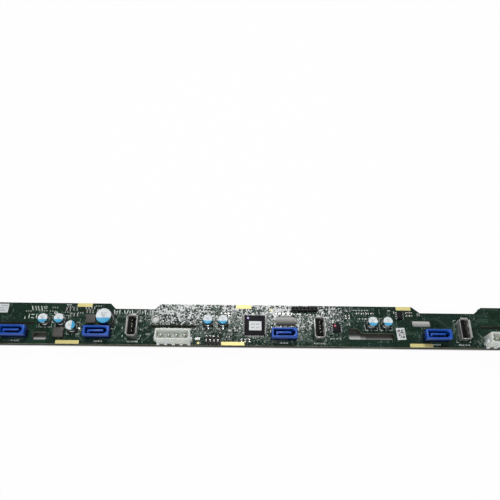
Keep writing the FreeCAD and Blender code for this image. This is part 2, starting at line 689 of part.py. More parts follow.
# ---------------------------------------------------------------- disk power headers
for place, number in enumerate(("one", "two")):
    tag = "power%d_" % (place + 1)
    shroud = new_body("power_header_%d" % (place + 1), "dims.power_%s_x" % number, "dims.power_y")
    rim = start_sketch(shroud, tag + "outline", "XY_Plane", None)
    closed_outline(rim, [
        ("-dims.power_front_half + dims.power_corner", "-dims.power_front"),
        ("dims.power_front_half - dims.power_corner", "-dims.power_front"),
        ("dims.power_front_half", "-dims.power_front + dims.power_corner"),
        ("dims.power_back_half", "dims.power_back"),
        ("-dims.power_back_half", "dims.power_back"),
        ("-dims.power_front_half", "-dims.power_front + dims.power_corner"),
    ])
    pad(shroud, tag + "shroud", rim, "dims.power_tall")
    well = start_sketch(shroud, tag + "well_outline", "XY_Plane", "dims.power_tall")
    closed_outline(well, [
        ("-dims.power_front_half + dims.power_wall + dims.power_corner",
         "-dims.power_front + dims.power_wall"),
        ("dims.power_front_half - dims.power_wall - dims.power_corner",
         "-dims.power_front + dims.power_wall"),
        ("dims.power_front_half - dims.power_wall",
         "-dims.power_front + dims.power_wall + dims.power_corner"),
        ("dims.power_back_half - dims.power_wall", "dims.power_back - dims.power_wall"),
        ("-dims.power_back_half + dims.power_wall", "dims.power_back - dims.power_wall"),
        ("-dims.power_front_half + dims.power_wall",
         "-dims.power_front + dims.power_wall + dims.power_corner"),
    ])
    pocket(shroud, tag + "well", well, "dims.power_tall - dims.power_floor")
    toe = start_sketch(shroud, tag + "toe_outline", "XY_Plane", None)
    rectangle(toe, "-2 * dims.power_pitch - dims.power_foot_wide / 2",
              "-dims.power_front - dims.power_foot_deep",
              "-2 * dims.power_pitch + dims.power_foot_wide / 2", "-dims.power_front + dims.power_wall")
    one_toe = pad(shroud, tag + "toe", toe, "dims.power_foot_tall")
    repeat(shroud, tag + "toes", one_toe, "X_Axis", "4 * dims.power_pitch", 5)
    rib = start_sketch(shroud, tag + "rib_outline", "XY_Plane", None)
    for side in ("-", "+"):
        rectangle(rib, "%s(dims.power_back_half - dims.power_wall / 2)" % side,
                  "-dims.power_rib_y - dims.power_rib_wide / 2",
                  "%s(dims.power_front_half + dims.power_rib_out)" % side,
                  "-dims.power_rib_y + dims.power_rib_wide / 2")
    pad(shroud, tag + "ribs", rib, "dims.power_rib_tall")
    tail_way = start_sketch(shroud, tag + "pin_way_outline", "XY_Plane", None)
    many_sided(tail_way, "-1.5 * dims.power_pitch", "0", "dims.power_pin_bore")
    pin_way = pocket(shroud, tag + "pin_way", tail_way, "dims.power_floor", back=True)
    repeat(shroud, tag + "pin_ways", pin_way, "X_Axis", "3 * dims.power_pitch", 4)
    parts.append(shroud)

    pins = new_body("power_pins_%d" % (place + 1), "dims.power_%s_x" % number, "dims.power_y")
    stem = start_sketch(pins, tag + "pin_outline", "XY_Plane", None)
    many_sided(stem, "0", "0", "dims.power_pin_bore")
    stem_pad = pad(pins, tag + "stem", stem, "dims.power_pin_top - dims.power_point")
    point = start_sketch(pins, tag + "point_outline", "XY_Plane", "dims.power_pin_top - dims.power_point")
    many_sided(point, "0", "0", "dims.power_point_bore")
    point_pad = pad(pins, tag + "point", point, "dims.power_point")
    tail = start_sketch(pins, tag + "tail_outline", "XY_Plane", None)
    centred(tail, "dims.power_tail_wide", "dims.power_tail_wide")
    tail_pad = pad(pins, tag + "tail", tail, "dims.board_thick + dims.tail_depth + 0.6", back=True)
    pin_row = pins.newObject("PartDesign::LinearPattern", tag + "pin_row")
    pin_row.Originals = [stem_pad, point_pad, tail_pad]
    pin_row.Direction = (plane_of(pins, "X_Axis"), [""])
    pin_row.setExpression("Length", "3 * dims.power_pitch")
    pin_row.Occurrences = 4
    pins.Tip = pin_row
    pins.setExpression("Placement.Base.x",
                       "dims.power_%s_x - 1.5 * dims.power_pitch - dims.mount_x" % number)
    doc.recompute()
    parts.append(pins)

# ---------------------------------------------------------------- capacitors
can_places = ("one", "two", "three", "four", "five", "six", "seven", "eight")
for place, number in enumerate(can_places):
    size = "cap_large" if number == "four" else "cap"
    turn = "90" if number == "three" else None
    station = ("dims.cap_%s_x" % number, "dims.cap_%s_y" % number)
    tag = "cap%d_" % (place + 1)
    radius = "dims.%s_can / 2" % size
    tall = "dims.%s_tall" % size

    can = new_body("capacitor_can_%d" % (place + 1), station[0], station[1], turn=turn)
    profile = start_sketch(can, tag + "can_profile", "XZ_Plane", None)
    closed_outline(profile, [
        ("0", "dims.cap_seat"),
        (radius, "dims.cap_seat"),
        (radius, tall + " - 0.35"),
        (radius + " - 0.35", tall),
        ("0", tall),
    ])
    spun = can.newObject("PartDesign::Revolution", tag + "can")
    spun.Profile = profile
    spun.ReferenceAxis = (plane_of(can, "Z_Axis"), [""])
    spun.Angle = 360.0
    can.Tip = spun
    doc.recompute()

    base = new_body("capacitor_base_%d" % (place + 1), station[0], station[1], turn=turn)
    square = start_sketch(base, tag + "base_outline", "XY_Plane", None)
    half_side = "dims.%s_base / 2" % size
    closed_outline(square, [
        ("-" + half_side, "-" + half_side),
        (half_side, "-" + half_side),
        (half_side, half_side + " - 1.2"),
        (half_side + " - 1.2", half_side),
        ("-" + half_side + " + 1.2", half_side),
        ("-" + half_side, half_side + " - 1.2"),
    ])
    pad(base, tag + "base", square, "dims.cap_seat")
    parts.append(can)
    parts.append(base)

# ---------------------------------------------------------------- power inductors
for place, number in enumerate(("one", "two")):
    tag = "choke%d_" % (place + 1)
    choke = new_body("power_inductor_%d" % (place + 1), "dims.choke_%s_x" % number,
                     "dims.choke_%s_y" % number)
    square = start_sketch(choke, tag + "outline", "XY_Plane", None)
    centred(square, "dims.choke_%s_long" % number, "dims.choke_%s_deep" % number)
    core = pad(choke, tag + "core", square, "dims.choke_tall")
    edges = upright_edges(choke.Shape, 0.0, 2.8)
    dress(choke, "Chamfer", tag + "corners", core, edges, "dims.choke_corner")
    notch = start_sketch(choke, tag + "notch_outline", "XY_Plane", None)
    for side in ("-", ""):
        rectangle(notch, side + "(dims.choke_%s_long / 2)" % number, "-0.9",
                  side + "(dims.choke_%s_long / 2 - 0.35)" % number, "0.9")
    pocket(choke, tag + "wire_notches", notch, "dims.choke_tall", back=True)
    parts.append(choke)


def gull_row(body, tag, role, along, side_half, span_half, mid, wide, pitch, count):
    # Two facing rows of gull-wing leads, bent down from the body's belt line to the board.
    profile = start_sketch(body, tag + "profile", role, None)
    flip = "" if role == "XZ_Plane" else "-"
    for end in ("-", ""):
        closed_outline(profile, [
            ("%s(%s)" % (end, side_half), "%s + dims.lead_thick / 2" % mid),
            ("%s(%s + 0.35)" % (end, side_half), "%s + dims.lead_thick / 2" % mid),
            ("%s(%s)" % (end, span_half), "dims.lead_thick / 2"),
            ("%s(%s)" % (end, span_half), "0"),
            ("%s(%s - dims.lead_foot)" % (end, span_half), "0"),
            ("%s(%s)" % (end, side_half), "%s - dims.lead_thick / 2" % mid),
        ])
    profile.setExpression("AttachmentOffset.Base.z", "%s%s * %s" % (flip, pitch, (count - 1) / 2.0))
    lead = pad(body, tag + "lead", profile, wide, both=True)
    return repeat(body, tag + "leads", lead, along, "%s * %d" % (pitch, count - 1), count)


def moulded(body, tag, long, deep, stand, mid, tall):
    # Drafted plastic body with a short upright belt where the leads come out.
    belt = start_sketch(body, tag + "belt_outline", "XY_Plane", "%s - 0.1" % mid)
    centred(belt, long, deep)
    pad(body, tag + "belt", belt, "0.2")
    upper = start_sketch(body, tag + "upper_outline", "XY_Plane", "%s + 0.1" % mid)
    centred(upper, long, deep)
    pad(body, tag + "upper", upper, "%s - %s - 0.1" % (tall, mid), taper=-7.0)
    lower = start_sketch(body, tag + "lower_outline", "XY_Plane", "%s - 0.1" % mid)
    centred(lower, long, deep)
    pad(body, tag + "lower", lower, "%s - %s - 0.1" % (mid, stand), back=True, taper=-7.0)


# ---------------------------------------------------------------- enclosure controller
quad = new_body("controller_body", "dims.quad_x", "dims.quad_y")
moulded(quad, "quad_", "dims.quad_side", "dims.quad_side", "0.1", "0.75", "dims.quad_tall")
parts.append(quad)

quad_leads = new_body("controller_leads", "dims.quad_x", "dims.quad_y")
gull_row(quad_leads, "quad_x_", "XZ_Plane", "Y_Axis", "dims.quad_side / 2", "dims.quad_span / 2",
         "0.75", "dims.quad_lead_wide", "dims.quad_pitch", 25)
gull_row(quad_leads, "quad_y_", "YZ_Plane", "X_Axis", "dims.quad_side / 2", "dims.quad_span / 2",
         "0.75", "dims.quad_lead_wide", "dims.quad_pitch", 25)
parts.append(quad_leads)

# ---------------------------------------------------------------- eight-lead chips
for name in ("memory", "driver"):
    chip = new_body(name + "_chip_body", "dims.%s_x" % name, "dims.%s_y" % name)
    moulded(chip, name + "_", "dims.%s_wide" % name, "dims.%s_long" % name, "0.1", "0.85", "dims.small_tall")
    parts.append(chip)
    legs = new_body(name + "_chip_leads", "dims.%s_x" % name, "dims.%s_y" % name)
    gull_row(legs, name + "_leg_", "XZ_Plane", "Y_Axis", "dims.%s_wide / 2" % name, "dims.%s_span / 2" % name,
             "0.85", "dims.small_lead_wide", "dims.small_pitch", 4)
    parts.append(legs)

# ---------------------------------------------------------------- service headers
jumper = new_body("jumper_header", "dims.jumper_x - 1.5 * dims.row_pitch", "dims.jumper_y")
cell = start_sketch(jumper, "jumper_cell_outline", "XY_Plane", None)
closed_outline(cell, [
    ("-dims.row_pitch / 2", "-dims.row_pitch + 0.5"),
    ("-dims.row_pitch / 2 + 0.5", "-dims.row_pitch"),
    ("dims.row_pitch / 2 - 0.5", "-dims.row_pitch"),
    ("dims.row_pitch / 2", "-dims.row_pitch + 0.5"),
    ("dims.row_pitch / 2", "dims.row_pitch - 0.5"),
    ("dims.row_pitch / 2 - 0.5", "dims.row_pitch"),
    ("-dims.row_pitch / 2 + 0.5", "dims.row_pitch"),
    ("-dims.row_pitch / 2", "dims.row_pitch - 0.5"),
])
one_cell = pad(jumper, "jumper_cell", cell, "dims.pin_block_tall")
repeat(jumper, "jumper_block", one_cell, "X_Axis", "3 * dims.row_pitch", 4)
ways = start_sketch(jumper, "jumper_way_outline", "XY_Plane", None)
for end in ("-", ""):
    rectangle(ways, "-dims.pin_side / 2", end + "(dims.row_pitch / 2 - dims.pin_side / 2)",
              "dims.pin_side / 2", end + "(dims.row_pitch / 2 + dims.pin_side / 2)")
one_way = pocket(jumper, "jumper_way", ways, "dims.pin_block_tall", back=True)
repeat(jumper, "jumper_ways", one_way, "X_Axis", "3 * dims.row_pitch", 4)
parts.append(jumper)

for name, top, count in (("jumper", "dims.pin_top", 4), ("socket", "0", 7)):
    posts = new_body(name + "_pins", "dims.%s_x - %s * dims.row_pitch" % (name, (count - 1) / 2.0),
                     "dims.%s_y" % name)
    post = start_sketch(posts, name + "_post_outline", "XY_Plane", "-dims.board_thick - dims.tail_depth")
    if name == "socket":
        centred(post, "dims.pin_side", "dims.pin_side")
    else:
        for end in ("-", ""):
            rectangle(post, "-dims.pin_side / 2", end + "(dims.row_pitch / 2 - dims.pin_side / 2)",
                      "dims.pin_side / 2", end + "(dims.row_pitch / 2 + dims.pin_side / 2)")
    one_post = pad(posts, name + "_post", post, "dims.board_thick + dims.tail_depth + " + top)
    repeat(posts, name + "_posts", one_post, "X_Axis", "%d * dims.row_pitch" % (count - 1), count)
    parts.append(posts)

socket = new_body("socket_header", "dims.socket_x - 3 * dims.row_pitch", "dims.socket_y")
block = start_sketch(socket, "socket_outline", "XY_Plane", None)
rectangle(block, "-dims.row_pitch / 2", "-dims.socket_deep / 2",
          "6.5 * dims.row_pitch", "dims.socket_deep / 2")
pad(socket, "socket_block", block, "dims.socket_tall")
mouth = start_sketch(socket, "socket_mouth_outline", "XY_Plane", "dims.socket_tall")
centred(mouth, "dims.socket_mouth", "dims.socket_mouth")
one_mouth = pocket(socket, "socket_mouth", mouth, "dims.socket_tall - dims.socket_floor")
repeat(socket, "socket_mouths", one_mouth, "X_Axis", "6 * dims.row_pitch", 7)
parts.append(socket)

# ---------------------------------------------------------------- status lamp
lamp = new_body("status_lamp", "dims.lamp_x", "dims.lamp_y")
case = start_sketch(lamp, "lamp_outline", "XY_Plane", None)
centred(case, "dims.lamp_long", "dims.lamp_deep")
pad(lamp, "lamp_case", case, "dims.lamp_tall * 0.5")
lens = start_sketch(lamp, "lamp_lens_outline", "XY_Plane", "dims.lamp_tall * 0.5")
centred(lens, "dims.lamp_long * 0.62", "dims.lamp_deep")
pad(lamp, "lamp_lens", lens, "dims.lamp_tall * 0.5", taper=-12.0)
parts.append(lamp)

# ---------------------------------------------------------------- chip resistors and capacitors
chips = new_body("chip_parts", "0", "0")
chip_rows = (
    # first station x and y, pitch between parts, how many, turned across the board
    ("regulator_left", 71.6, 24.0, 2.4, 4, True),
    ("regulator_front", 74.9, 19.9, 2.3, 3, True),
    ("coil_strap", 85.6, 22.6, 2.0, 3, True),
    ("filter", 176.6, 21.4, 2.6, 3, True),
    ("controller_front", 190.4, 3.4, 2.6, 3, True),
    ("controller_side", 210.8, 11.7, 2.2, 2, True),
    ("pull_up", 214.6, 22.4, 2.9, 4, False),
    ("memory_side", 261.2, 20.6, 2.4, 2, True),
    ("bay_lamp", 269.6, 23.2, 3.3, 4, False),
    ("driver_front", 303.6, 21.8, 2.4, 2, False),
    ("driver_back", 303.6, 24.0, 2.4, 2, False),
)
for name, first_x, first_y, pitch, count, turned_across in chip_rows:
    outline = start_sketch(chips, name + "_outline", "XY_Plane", None)
    long_side = "dims.chip_deep" if turned_across else "dims.chip_long"
    deep_side = "dims.chip_long" if turned_across else "dims.chip_deep"
    rectangle(outline, "%s - %s / 2" % (first_x, long_side), "%s - %s / 2" % (first_y, deep_side),
              "%s + %s / 2" % (first_x, long_side), "%s + %s / 2" % (first_y, deep_side))
    one_chip = pad(chips, name + "_part", outline, "dims.chip_tall")
    repeat(chips, name + "_row", one_chip, "X_Axis", "%s * %d" % (pitch, count - 1), count)
parts.append(chips)

# ---------------------------------------------------------------- drive receptacles, rear face
for place in range(4):
    tag = "drive%d_" % (place + 1)
    station_x = "dims.drive_first + %d * dims.drive_pitch" % place
    receptacle = new_body("drive_receptacle_%d" % (place + 1), station_x, "dims.drive_y",
                          height="-dims.board_thick")
    flange = start_sketch(receptacle, tag + "flange_outline", "XY_Plane", "-dims.drive_standoff")
    centred(flange, "2 * dims.drive_flange_half", "dims.drive_flange_deep")
    pad(receptacle, tag + "flange", flange, "dims.drive_flange_tall", back=True)
    core = start_sketch(receptacle, tag + "core_outline", "XY_Plane", "-dims.drive_standoff")
    centred(core, "2 * dims.drive_core_half", "dims.drive_deep")
    pad(receptacle, tag + "core", core, "dims.drive_tall - dims.drive_standoff", back=True)
    ears = start_sketch(receptacle, tag + "ear_outline", "XY_Plane", None)
    for end in ("-", ""):
        closed_outline(ears, [
            (end + "(dims.drive_core_half - 1)", "-dims.drive_lug_deep / 2"),
            (end + "(dims.drive_half - dims.drive_lug_cut)", "-dims.drive_lug_deep / 2"),
            (end + "(dims.drive_half)", "-dims.drive_lug_deep / 2 + dims.drive_lug_cut"),
            (end + "(dims.drive_half)", "dims.drive_lug_deep / 2 - dims.drive_lug_cut"),
            (end + "(dims.drive_half - dims.drive_lug_cut)", "dims.drive_lug_deep / 2"),
            (end + "(dims.drive_core_half - 1)", "dims.drive_lug_deep / 2"),
        ])
    pad(receptacle, tag + "ears", ears, "dims.drive_tall", back=True)
    mouth = start_sketch(receptacle, tag + "slot_outline", "XY_Plane", "-dims.drive_tall")
    slot_back = "dims.drive_slot_wide / 2"
    for left, right in (("-dims.drive_signal_left", "-dims.drive_signal_right"),
                        ("-dims.drive_power_left", "dims.drive_power_right")):
        closed_outline(mouth, [
            (left, slot_back),
            (left, "-" + slot_back + " - dims.drive_key_deep"),
            (left + " + dims.drive_key_wide", "-" + slot_back + " - dims.drive_key_deep"),
            (left + " + dims.drive_key_wide", "-" + slot_back),
            (right, "-" + slot_back),
            (right, slot_back),
        ])
    pocket(receptacle, tag + "slots", mouth, "dims.drive_tall - dims.drive_slot_floor", back=True)
    groove = start_sketch(receptacle, tag + "guide_outline", "XY_Plane", "-dims.drive_tall")
    for end in ("-", ""):
        rectangle(groove, end + "(dims.drive_half - dims.drive_groove_wide)", "-0.7",
                  end + "(dims.drive_half + 0.1)", "0.7")
    pocket(receptacle, tag + "guides", groove, "dims.drive_tall - dims.drive_slot_floor", back=True)
    spring_way = start_sketch(receptacle, tag + "spring_way_outline", "XY_Plane", "-dims.drive_slot_floor")
    for first, count in (("dims.drive_signal_first", 7), ("dims.drive_power_first", 15)):
        rectangle(spring_way, "-%s - dims.drive_spring_wide / 2" % first,
                  "dims.drive_slot_wide / 2 - dims.drive_spring_thick",
                  "-%s + %d * dims.drive_pitch_fine + dims.drive_spring_wide / 2" % (first, count - 1),
                  "dims.drive_slot_wide / 2")
    pocket(receptacle, tag + "spring_ways", spring_way,
           "dims.drive_slot_floor - dims.drive_standoff", back=True)
    pegs = start_sketch(receptacle, tag + "peg_outline", "XY_Plane", None)
    for end in ("-", ""):
        many_sided(pegs, end + "dims.drive_peg_half", "dims.drive_peg_y - dims.drive_y",
                   "dims.drive_peg_bore")
    pad(receptacle, tag + "pegs", pegs, "dims.board_thick * 0.75")
    parts.append(receptacle)

    springs = new_body("drive_contacts_%d" % (place + 1), station_x, "dims.drive_y",
                       height="-dims.board_thick")
    for group, first, count in (("signal", "dims.drive_signal_first", 7),
                                ("supply", "dims.drive_power_first", 15)):
        elbow = start_sketch(springs, tag + group + "_outline", "YZ_Plane", "-" + first)
        rectangle(elbow, "dims.drive_slot_wide / 2 - dims.drive_spring_thick", "-dims.drive_spring_reach",
                  "dims.drive_slot_wide / 2", "0")
        one_spring = pad(springs, tag + group + "_spring", elbow, "dims.drive_spring_wide", both=True)
        repeat(springs, tag + group + "_springs", one_spring, "X_Axis",
               "%d * dims.drive_pitch_fine" % (count - 1), count)
    parts.append(springs)

doc.recompute()
for item in doc.Objects:
    if "Invalid" in item.State or "Error" in item.State:
        raise RuntimeError(item.Name + " " + str(item.State))
os.makedirs("parts", exist_ok=True)
for node in parts:
    shape = node.Shape
    if shape.isNull() or not shape.isValid():
        raise RuntimeError(node.Label)
    shape.exportStep("parts/%s.step" % node.Label)
    box = shape.BoundBox
    print("%-24s %3d solid %9.2f mm3  x %.2f %.2f  y %.2f %.2f  z %.2f %.2f" % (
        node.Label, len(shape.Solids), shape.Volume, box.XMin, box.XMax, box.YMin, box.YMax,
        box.ZMin, box.ZMax))
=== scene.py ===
import math
import random

import bmesh
import bpy
from mathutils import Matrix, Vector


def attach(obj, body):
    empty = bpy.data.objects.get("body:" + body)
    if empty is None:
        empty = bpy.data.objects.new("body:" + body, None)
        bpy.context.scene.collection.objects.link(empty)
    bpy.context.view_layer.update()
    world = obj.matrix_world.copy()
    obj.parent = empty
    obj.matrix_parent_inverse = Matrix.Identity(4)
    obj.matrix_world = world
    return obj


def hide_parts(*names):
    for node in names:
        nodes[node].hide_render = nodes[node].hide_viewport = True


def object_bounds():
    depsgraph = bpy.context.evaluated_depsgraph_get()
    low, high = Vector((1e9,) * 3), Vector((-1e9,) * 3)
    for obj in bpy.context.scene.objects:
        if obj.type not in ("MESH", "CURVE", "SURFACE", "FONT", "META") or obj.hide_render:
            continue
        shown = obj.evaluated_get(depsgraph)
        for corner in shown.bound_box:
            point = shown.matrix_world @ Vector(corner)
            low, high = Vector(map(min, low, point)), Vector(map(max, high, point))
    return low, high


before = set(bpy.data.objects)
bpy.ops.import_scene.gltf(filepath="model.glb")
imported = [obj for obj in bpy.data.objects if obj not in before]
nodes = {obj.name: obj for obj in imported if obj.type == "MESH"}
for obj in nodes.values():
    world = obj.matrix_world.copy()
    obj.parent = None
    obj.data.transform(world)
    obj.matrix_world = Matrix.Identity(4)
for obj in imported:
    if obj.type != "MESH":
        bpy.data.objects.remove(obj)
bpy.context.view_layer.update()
print("stage: frame loaded,", len(nodes), "nodes")

# the frame's origin is the mounting hole; stations are counted from the board's left front corner
boardPlan = {
    "holeAlong": 132.1,
    "holeAcross": 17.6,
    "length": 425.0,
    "width": 28.3,
    "thick": 1.6,
}


def mm(value):
    return value / 1000


def spot(along, across, height=0.0):
    # a station on the board in millimetres, as a point in metres
    return Vector((mm(along - boardPlan["holeAlong"]), mm(across - boardPlan["holeAcross"]), mm(height)))


def colour(code):
    # sRGB hex to linear
    values = []
    for place in (1, 3, 5):
        part = int(code[place:place + 2], 16) / 255
        values.append(part / 12.92 if part <= 0.04045 else ((part + 0.055) / 1.055) ** 2.4)
    return (*values, 1.0)


def addNode(tree, kind, settings=None, inputs=None):
    # each input is given a plain value, or the socket that feeds it
    node = tree.nodes.new(kind)
    for key, value in (settings or {}).items():
        setattr(node, key, value)
    for key, value in (inputs or {}).items():
        if isinstance(value, bpy.types.NodeSocket):
            tree.links.new(value, node.inputs[key])
        else:
            node.inputs[key].default_value = value
    return node


def newMaterial(name):
    made = bpy.data.materials.new(name)
    made.use_nodes = True
    tree = made.node_tree
    tree.nodes.clear()
    output = addNode(tree, "ShaderNodeOutputMaterial")
    shader = addNode(tree, "ShaderNodeBsdfPrincipled")
    tree.links.new(shader.outputs["BSDF"], output.inputs["Surface"])
    where = addNode(tree, "ShaderNodeTexCoord").outputs["Object"]
    return made, tree, shader, where


grainPlan = {
    "detail": 4.0,
    "roughness": 0.55,
    "broader": 9,                   # the slow change is this many times as large as the grain
    "tintRange": (0.32, 0.68),      # the part of the noise that the two colours span
    "wearRange": (0.3, 0.7),        # the part that the roughness spans
    "wander": 0.08,                 # how far the roughness goes each way
    "smoothest": 0.02,
    "bump": 0.6,
    "seeDeep": 0.0025,
    "seeRadius": (1.0, 0.9, 0.75),
}


def finishOf(name, base, other, rough, grainMm, bumpMm=0.0, metallic=0.0, ior=1.5, seeInto=0.0):
    # one surface: two close colours mixed by a grain of real size, and a roughness that wanders with it
    made, tree, shader, where = newMaterial(name)
    low, high = grainPlan["tintRange"]
    wearLow, wearHigh = grainPlan["wearRange"]
    grain = addNode(tree, "ShaderNodeTexNoise", None,
                    {"Scale": 1000.0 / grainMm, "Detail": grainPlan["detail"],
                     "Roughness": grainPlan["roughness"], "Vector": where}).outputs["Fac"]
    broad = addNode(tree, "ShaderNodeTexNoise", None,
                    {"Scale": 1000.0 / (grainMm * grainPlan["broader"]), "Detail": 2.0, "Vector": where})
    both = addNode(tree, "ShaderNodeMix", {"data_type": "FLOAT"}, {0: 0.5, 2: grain, 3: broad.outputs["Fac"]})
    spread = addNode(tree, "ShaderNodeMapRange", None,
                     {"Value": both.outputs[0], "From Min": low, "From Max": high})
    tint = addNode(tree, "ShaderNodeMix", {"data_type": "RGBA"},
                   {0: spread.outputs[0], 6: colour(base), 7: colour(other)})
    tree.links.new(tint.outputs[2], shader.inputs["Base Color"])
    worn = addNode(tree, "ShaderNodeMapRange", None,
                   {"Value": grain, "From Min": wearLow, "From Max": wearHigh,
                    "To Min": max(rough - grainPlan["wander"], grainPlan["smoothest"]),
                    "To Max": rough + grainPlan["wander"]})
    tree.links.new(worn.outputs[0], shader.inputs["Roughness"])
    if bumpMm:
        relief = addNode(tree, "ShaderNodeBump", None,
                         {"Strength": grainPlan["bump"], "Distance": mm(bumpMm), "Height": grain})
        tree.links.new(relief.outputs["Normal"], shader.inputs["Normal"])
    shader.inputs["Metallic"].default_value = metallic
    shader.inputs["IOR"].default_value = ior
    shader.inputs["Subsurface Weight"].default_value = seeInto
    if seeInto:
        shader.inputs["Subsurface Scale"].default_value = grainPlan["seeDeep"]
        shader.inputs["Subsurface Radius"].default_value = grainPlan["seeRadius"]
    return made


finishes = {
    # glass-filled polyester, moulded: even, faintly waxy, with a soft highlight
    "blueNylon": finishOf("moulded blue polyester", "#0f47a4", "#1952b2", 0.4, 1.6, 0.004, ior=1.42),
    # glass-filled liquid crystal polymer: almost black, dull, slightly streaked
    "blackPlastic": finishOf("moulded black polymer", "#0b0a0c", "#121113", 0.46, 0.9, 0.006, ior=1.3),
    # the same polymer deep in a mouth, painted as if in shade
    "shadedPlastic": finishOf("shaded black polymer", "#060607", "#09090a", 0.6, 0.9, 0.004, ior=1.2),
    # natural nylon: milky, light goes a little way in
    "naturalNylon": finishOf("natural nylon", "#d9dfd9", "#e0e5df", 0.4, 2.2, 0.004, ior=1.53, seeInto=0.8),
    # transfer-moulded epoxy: violet-black with a fine matt grain
    "mouldCompound": finishOf("epoxy mould compound", "#131116", "#18161b", 0.55, 0.5, 0.006, ior=1.2),
    # gold flash over nickel
    "goldContact": finishOf("gold flash", "#e6c877", "#d8b866", 0.26, 0.8, 0.0, metallic=1.0),
    # the same plating deep in a mouth, painted as if in shade
    "shadedContact": finishOf("gold flash in painted shade", "#54482a", "#463c23", 0.42, 0.8, 0.0, metallic=1.0),
    # tin plate, drawn through a die: bright with faint drag lines
    "tinPlate": finishOf("tin plate", "#bcbcba", "#a4a4a2", 0.38, 0.7, 0.002, metallic=0.65),
    "tinnedBrass": finishOf("tinned brass", "#cfcfc8", "#bdbdb4", 0.28, 0.9, 0.002, metallic=1.0),
    # drawn aluminium can with a clear laminate: satin and very pale
    "canAluminium": finishOf("drawn can", "#b4b8ba", "#a3a7aa", 0.2, 1.4, 0.002, metallic=1.0),
    # printed lid: a lacquer, so it takes light like paint
    "canLid": finishOf("lacquered lid", "#dfe5e7", "#d1d8db", 0.5, 1.2, 0.003, ior=1.5),
    "canStripe": finishOf("printed polarity segment", "#3699c6", "#42a4cf", 0.45, 1.2, 0.002, ior=1.5),
    # pressed iron powder, ground: brown-grey and dull
    "ferrite": finishOf("pressed powder core", "#34322f", "#423f3c", 0.62, 0.35, 0.02, ior=1.6),
    "chipCeramic": finishOf("fired chip ceramic", "#6b5f50", "#7d7160", 0.5, 0.8, 0.003, ior=1.6),
    # plated copper leads: dull silver
    "leadPlate": finishOf("plated chip leads", "#c9cac8", "#b5b6b4", 0.46, 0.4, 0.003, metallic=0.35),
    "paleContact": finishOf("worn contact plating", "#cdc6ae", "#b8b19a", 0.3, 0.6, 0.0, metallic=1.0),
    # reflowed solder: bright and uneven
    "solder": finishOf("reflowed solder", "#d6d8d6", "#b4b7b6", 0.24, 0.35, 0.01, metallic=1.0),
    # bare pads and rings: levelled solder, rather dull
    "padSolder": finishOf("levelled solder", "#a3a5a3", "#858785", 0.55, 0.6, 0.006, metallic=0.8),
    # epoxy ink, screened: chalky white
    "screenInk": finishOf("screened legend ink", "#d3d8d3", "#bcc4be", 0.55, 0.6, 0.004, ior=1.5),
    # paper label with a satin film
    "labelPaper": finishOf("label film", "#d2d5d6", "#c6cacb", 0.42, 1.5, 0.002, ior=1.48),
    "labelInk": finishOf("label print", "#3a3c3e", "#4a4c4e", 0.5, 0.6, 0.0, ior=1.5),
    "labelGrey": finishOf("faded label print", "#8d9296", "#a0a5a8", 0.5, 0.6, 0.0, ior=1.5),
    "lampLens": finishOf("lamp lens", "#eef0ea", "#e2e5de", 0.22, 0.9, 0.0, ior=1.5, seeInto=0.2),
    "bareGold": finishOf("immersion gold pad", "#dacf8e", "#cec17e", 0.45, 1.8, 0.003, metallic=0.35),
    "violetDot": finishOf("paint dot", "#b9a2e8", "#a892dd", 0.4, 0.5, 0.0, ior=1.5),
    "redDot": finishOf("red paint dot", "#c23a5c", "#d04a6a", 0.4, 0.5, 0.0, ior=1.5),
    # the mask where a track lifts it
    "maskedCopper": finishOf("mask over copper", "#1d3a2c", "#27483a", 0.22, 0.6, 0.004, ior=1.55),
}


def deepen(made, deepMm, wholeMm, share):
    # colour and highlight keep only a share of themselves at the first height, and all from the second
    tree = made.node_tree
    shader = next(node for node in tree.nodes if node.type == "BSDF_PRINCIPLED")
    tint = shader.inputs["Base Color"].links[0].from_socket
    where = addNode(tree, "ShaderNodeTexCoord").outputs["Object"]
    height = addNode(tree, "ShaderNodeSeparateXYZ", None, {0: where})
    tone = addNode(tree, "ShaderNodeMapRange", {"interpolation_type": "SMOOTHSTEP"},
                   {"Value": height.outputs["Z"], "From Min": mm(deepMm), "From Max": mm(wholeMm),
                    "To Min": share})
    deep = addNode(tree, "ShaderNodeMix", {"data_type": "RGBA"},
                   {0: tone.outputs[0], 6: (0.0, 0.0, 0.002, 1.0), 7: tint})
    tree.links.new(deep.outputs[2], shader.inputs["Base Color"])
    level = addNode(tree, "ShaderNodeMath", {"operation": "MULTIPLY"}, {0: tone.outputs[0], 1: 0.5})
    tree.links.new(level.outputs[0], shader.inputs["Specular IOR Level"])


# painted shade: the blue and its highlight are painted darker toward the board, where the lamps alone leave
# it too light
deepen(finishes["blueNylon"], 2.6, 8.2, 0.1)
# and the rim of the natural nylon a touch darker than its walls
deepen(finishes["naturalNylon"], 11.6, 10.9, 0.86)

maskPlan = {
    # sizes in mm: copper pours, clouds of shade, cells of short track, glass weave, fibres on a cut wall
    "pourMm": 11.0,
    "cloudMm": 30.0,
    "cellMm": 0.95,
    "weaveMm": 0.5,
    "fibreMm": 1.1,
    "pours": ("#1a2d24", "#21392e"),
    "laminate": ("#575943", "#6c6d58"),
    "clouds": 0.35,
    "flat": 0.7,                # a face that looks up or down more than this is masked
    "lean": 0.035,
    "crowding": 0.5,            # how much a pour decides which cells are dull
    "cut": (0.76, 0.84),        # cells below the first are bright, those above the second are dull
    "shine": (0.72, 0.05),
    "gloss": (0.05, 0.12),
    "wallRough": 0.75,
    "bump": 0.4,
    "bumpMm": 0.03,
    "ior": 1.55,
}


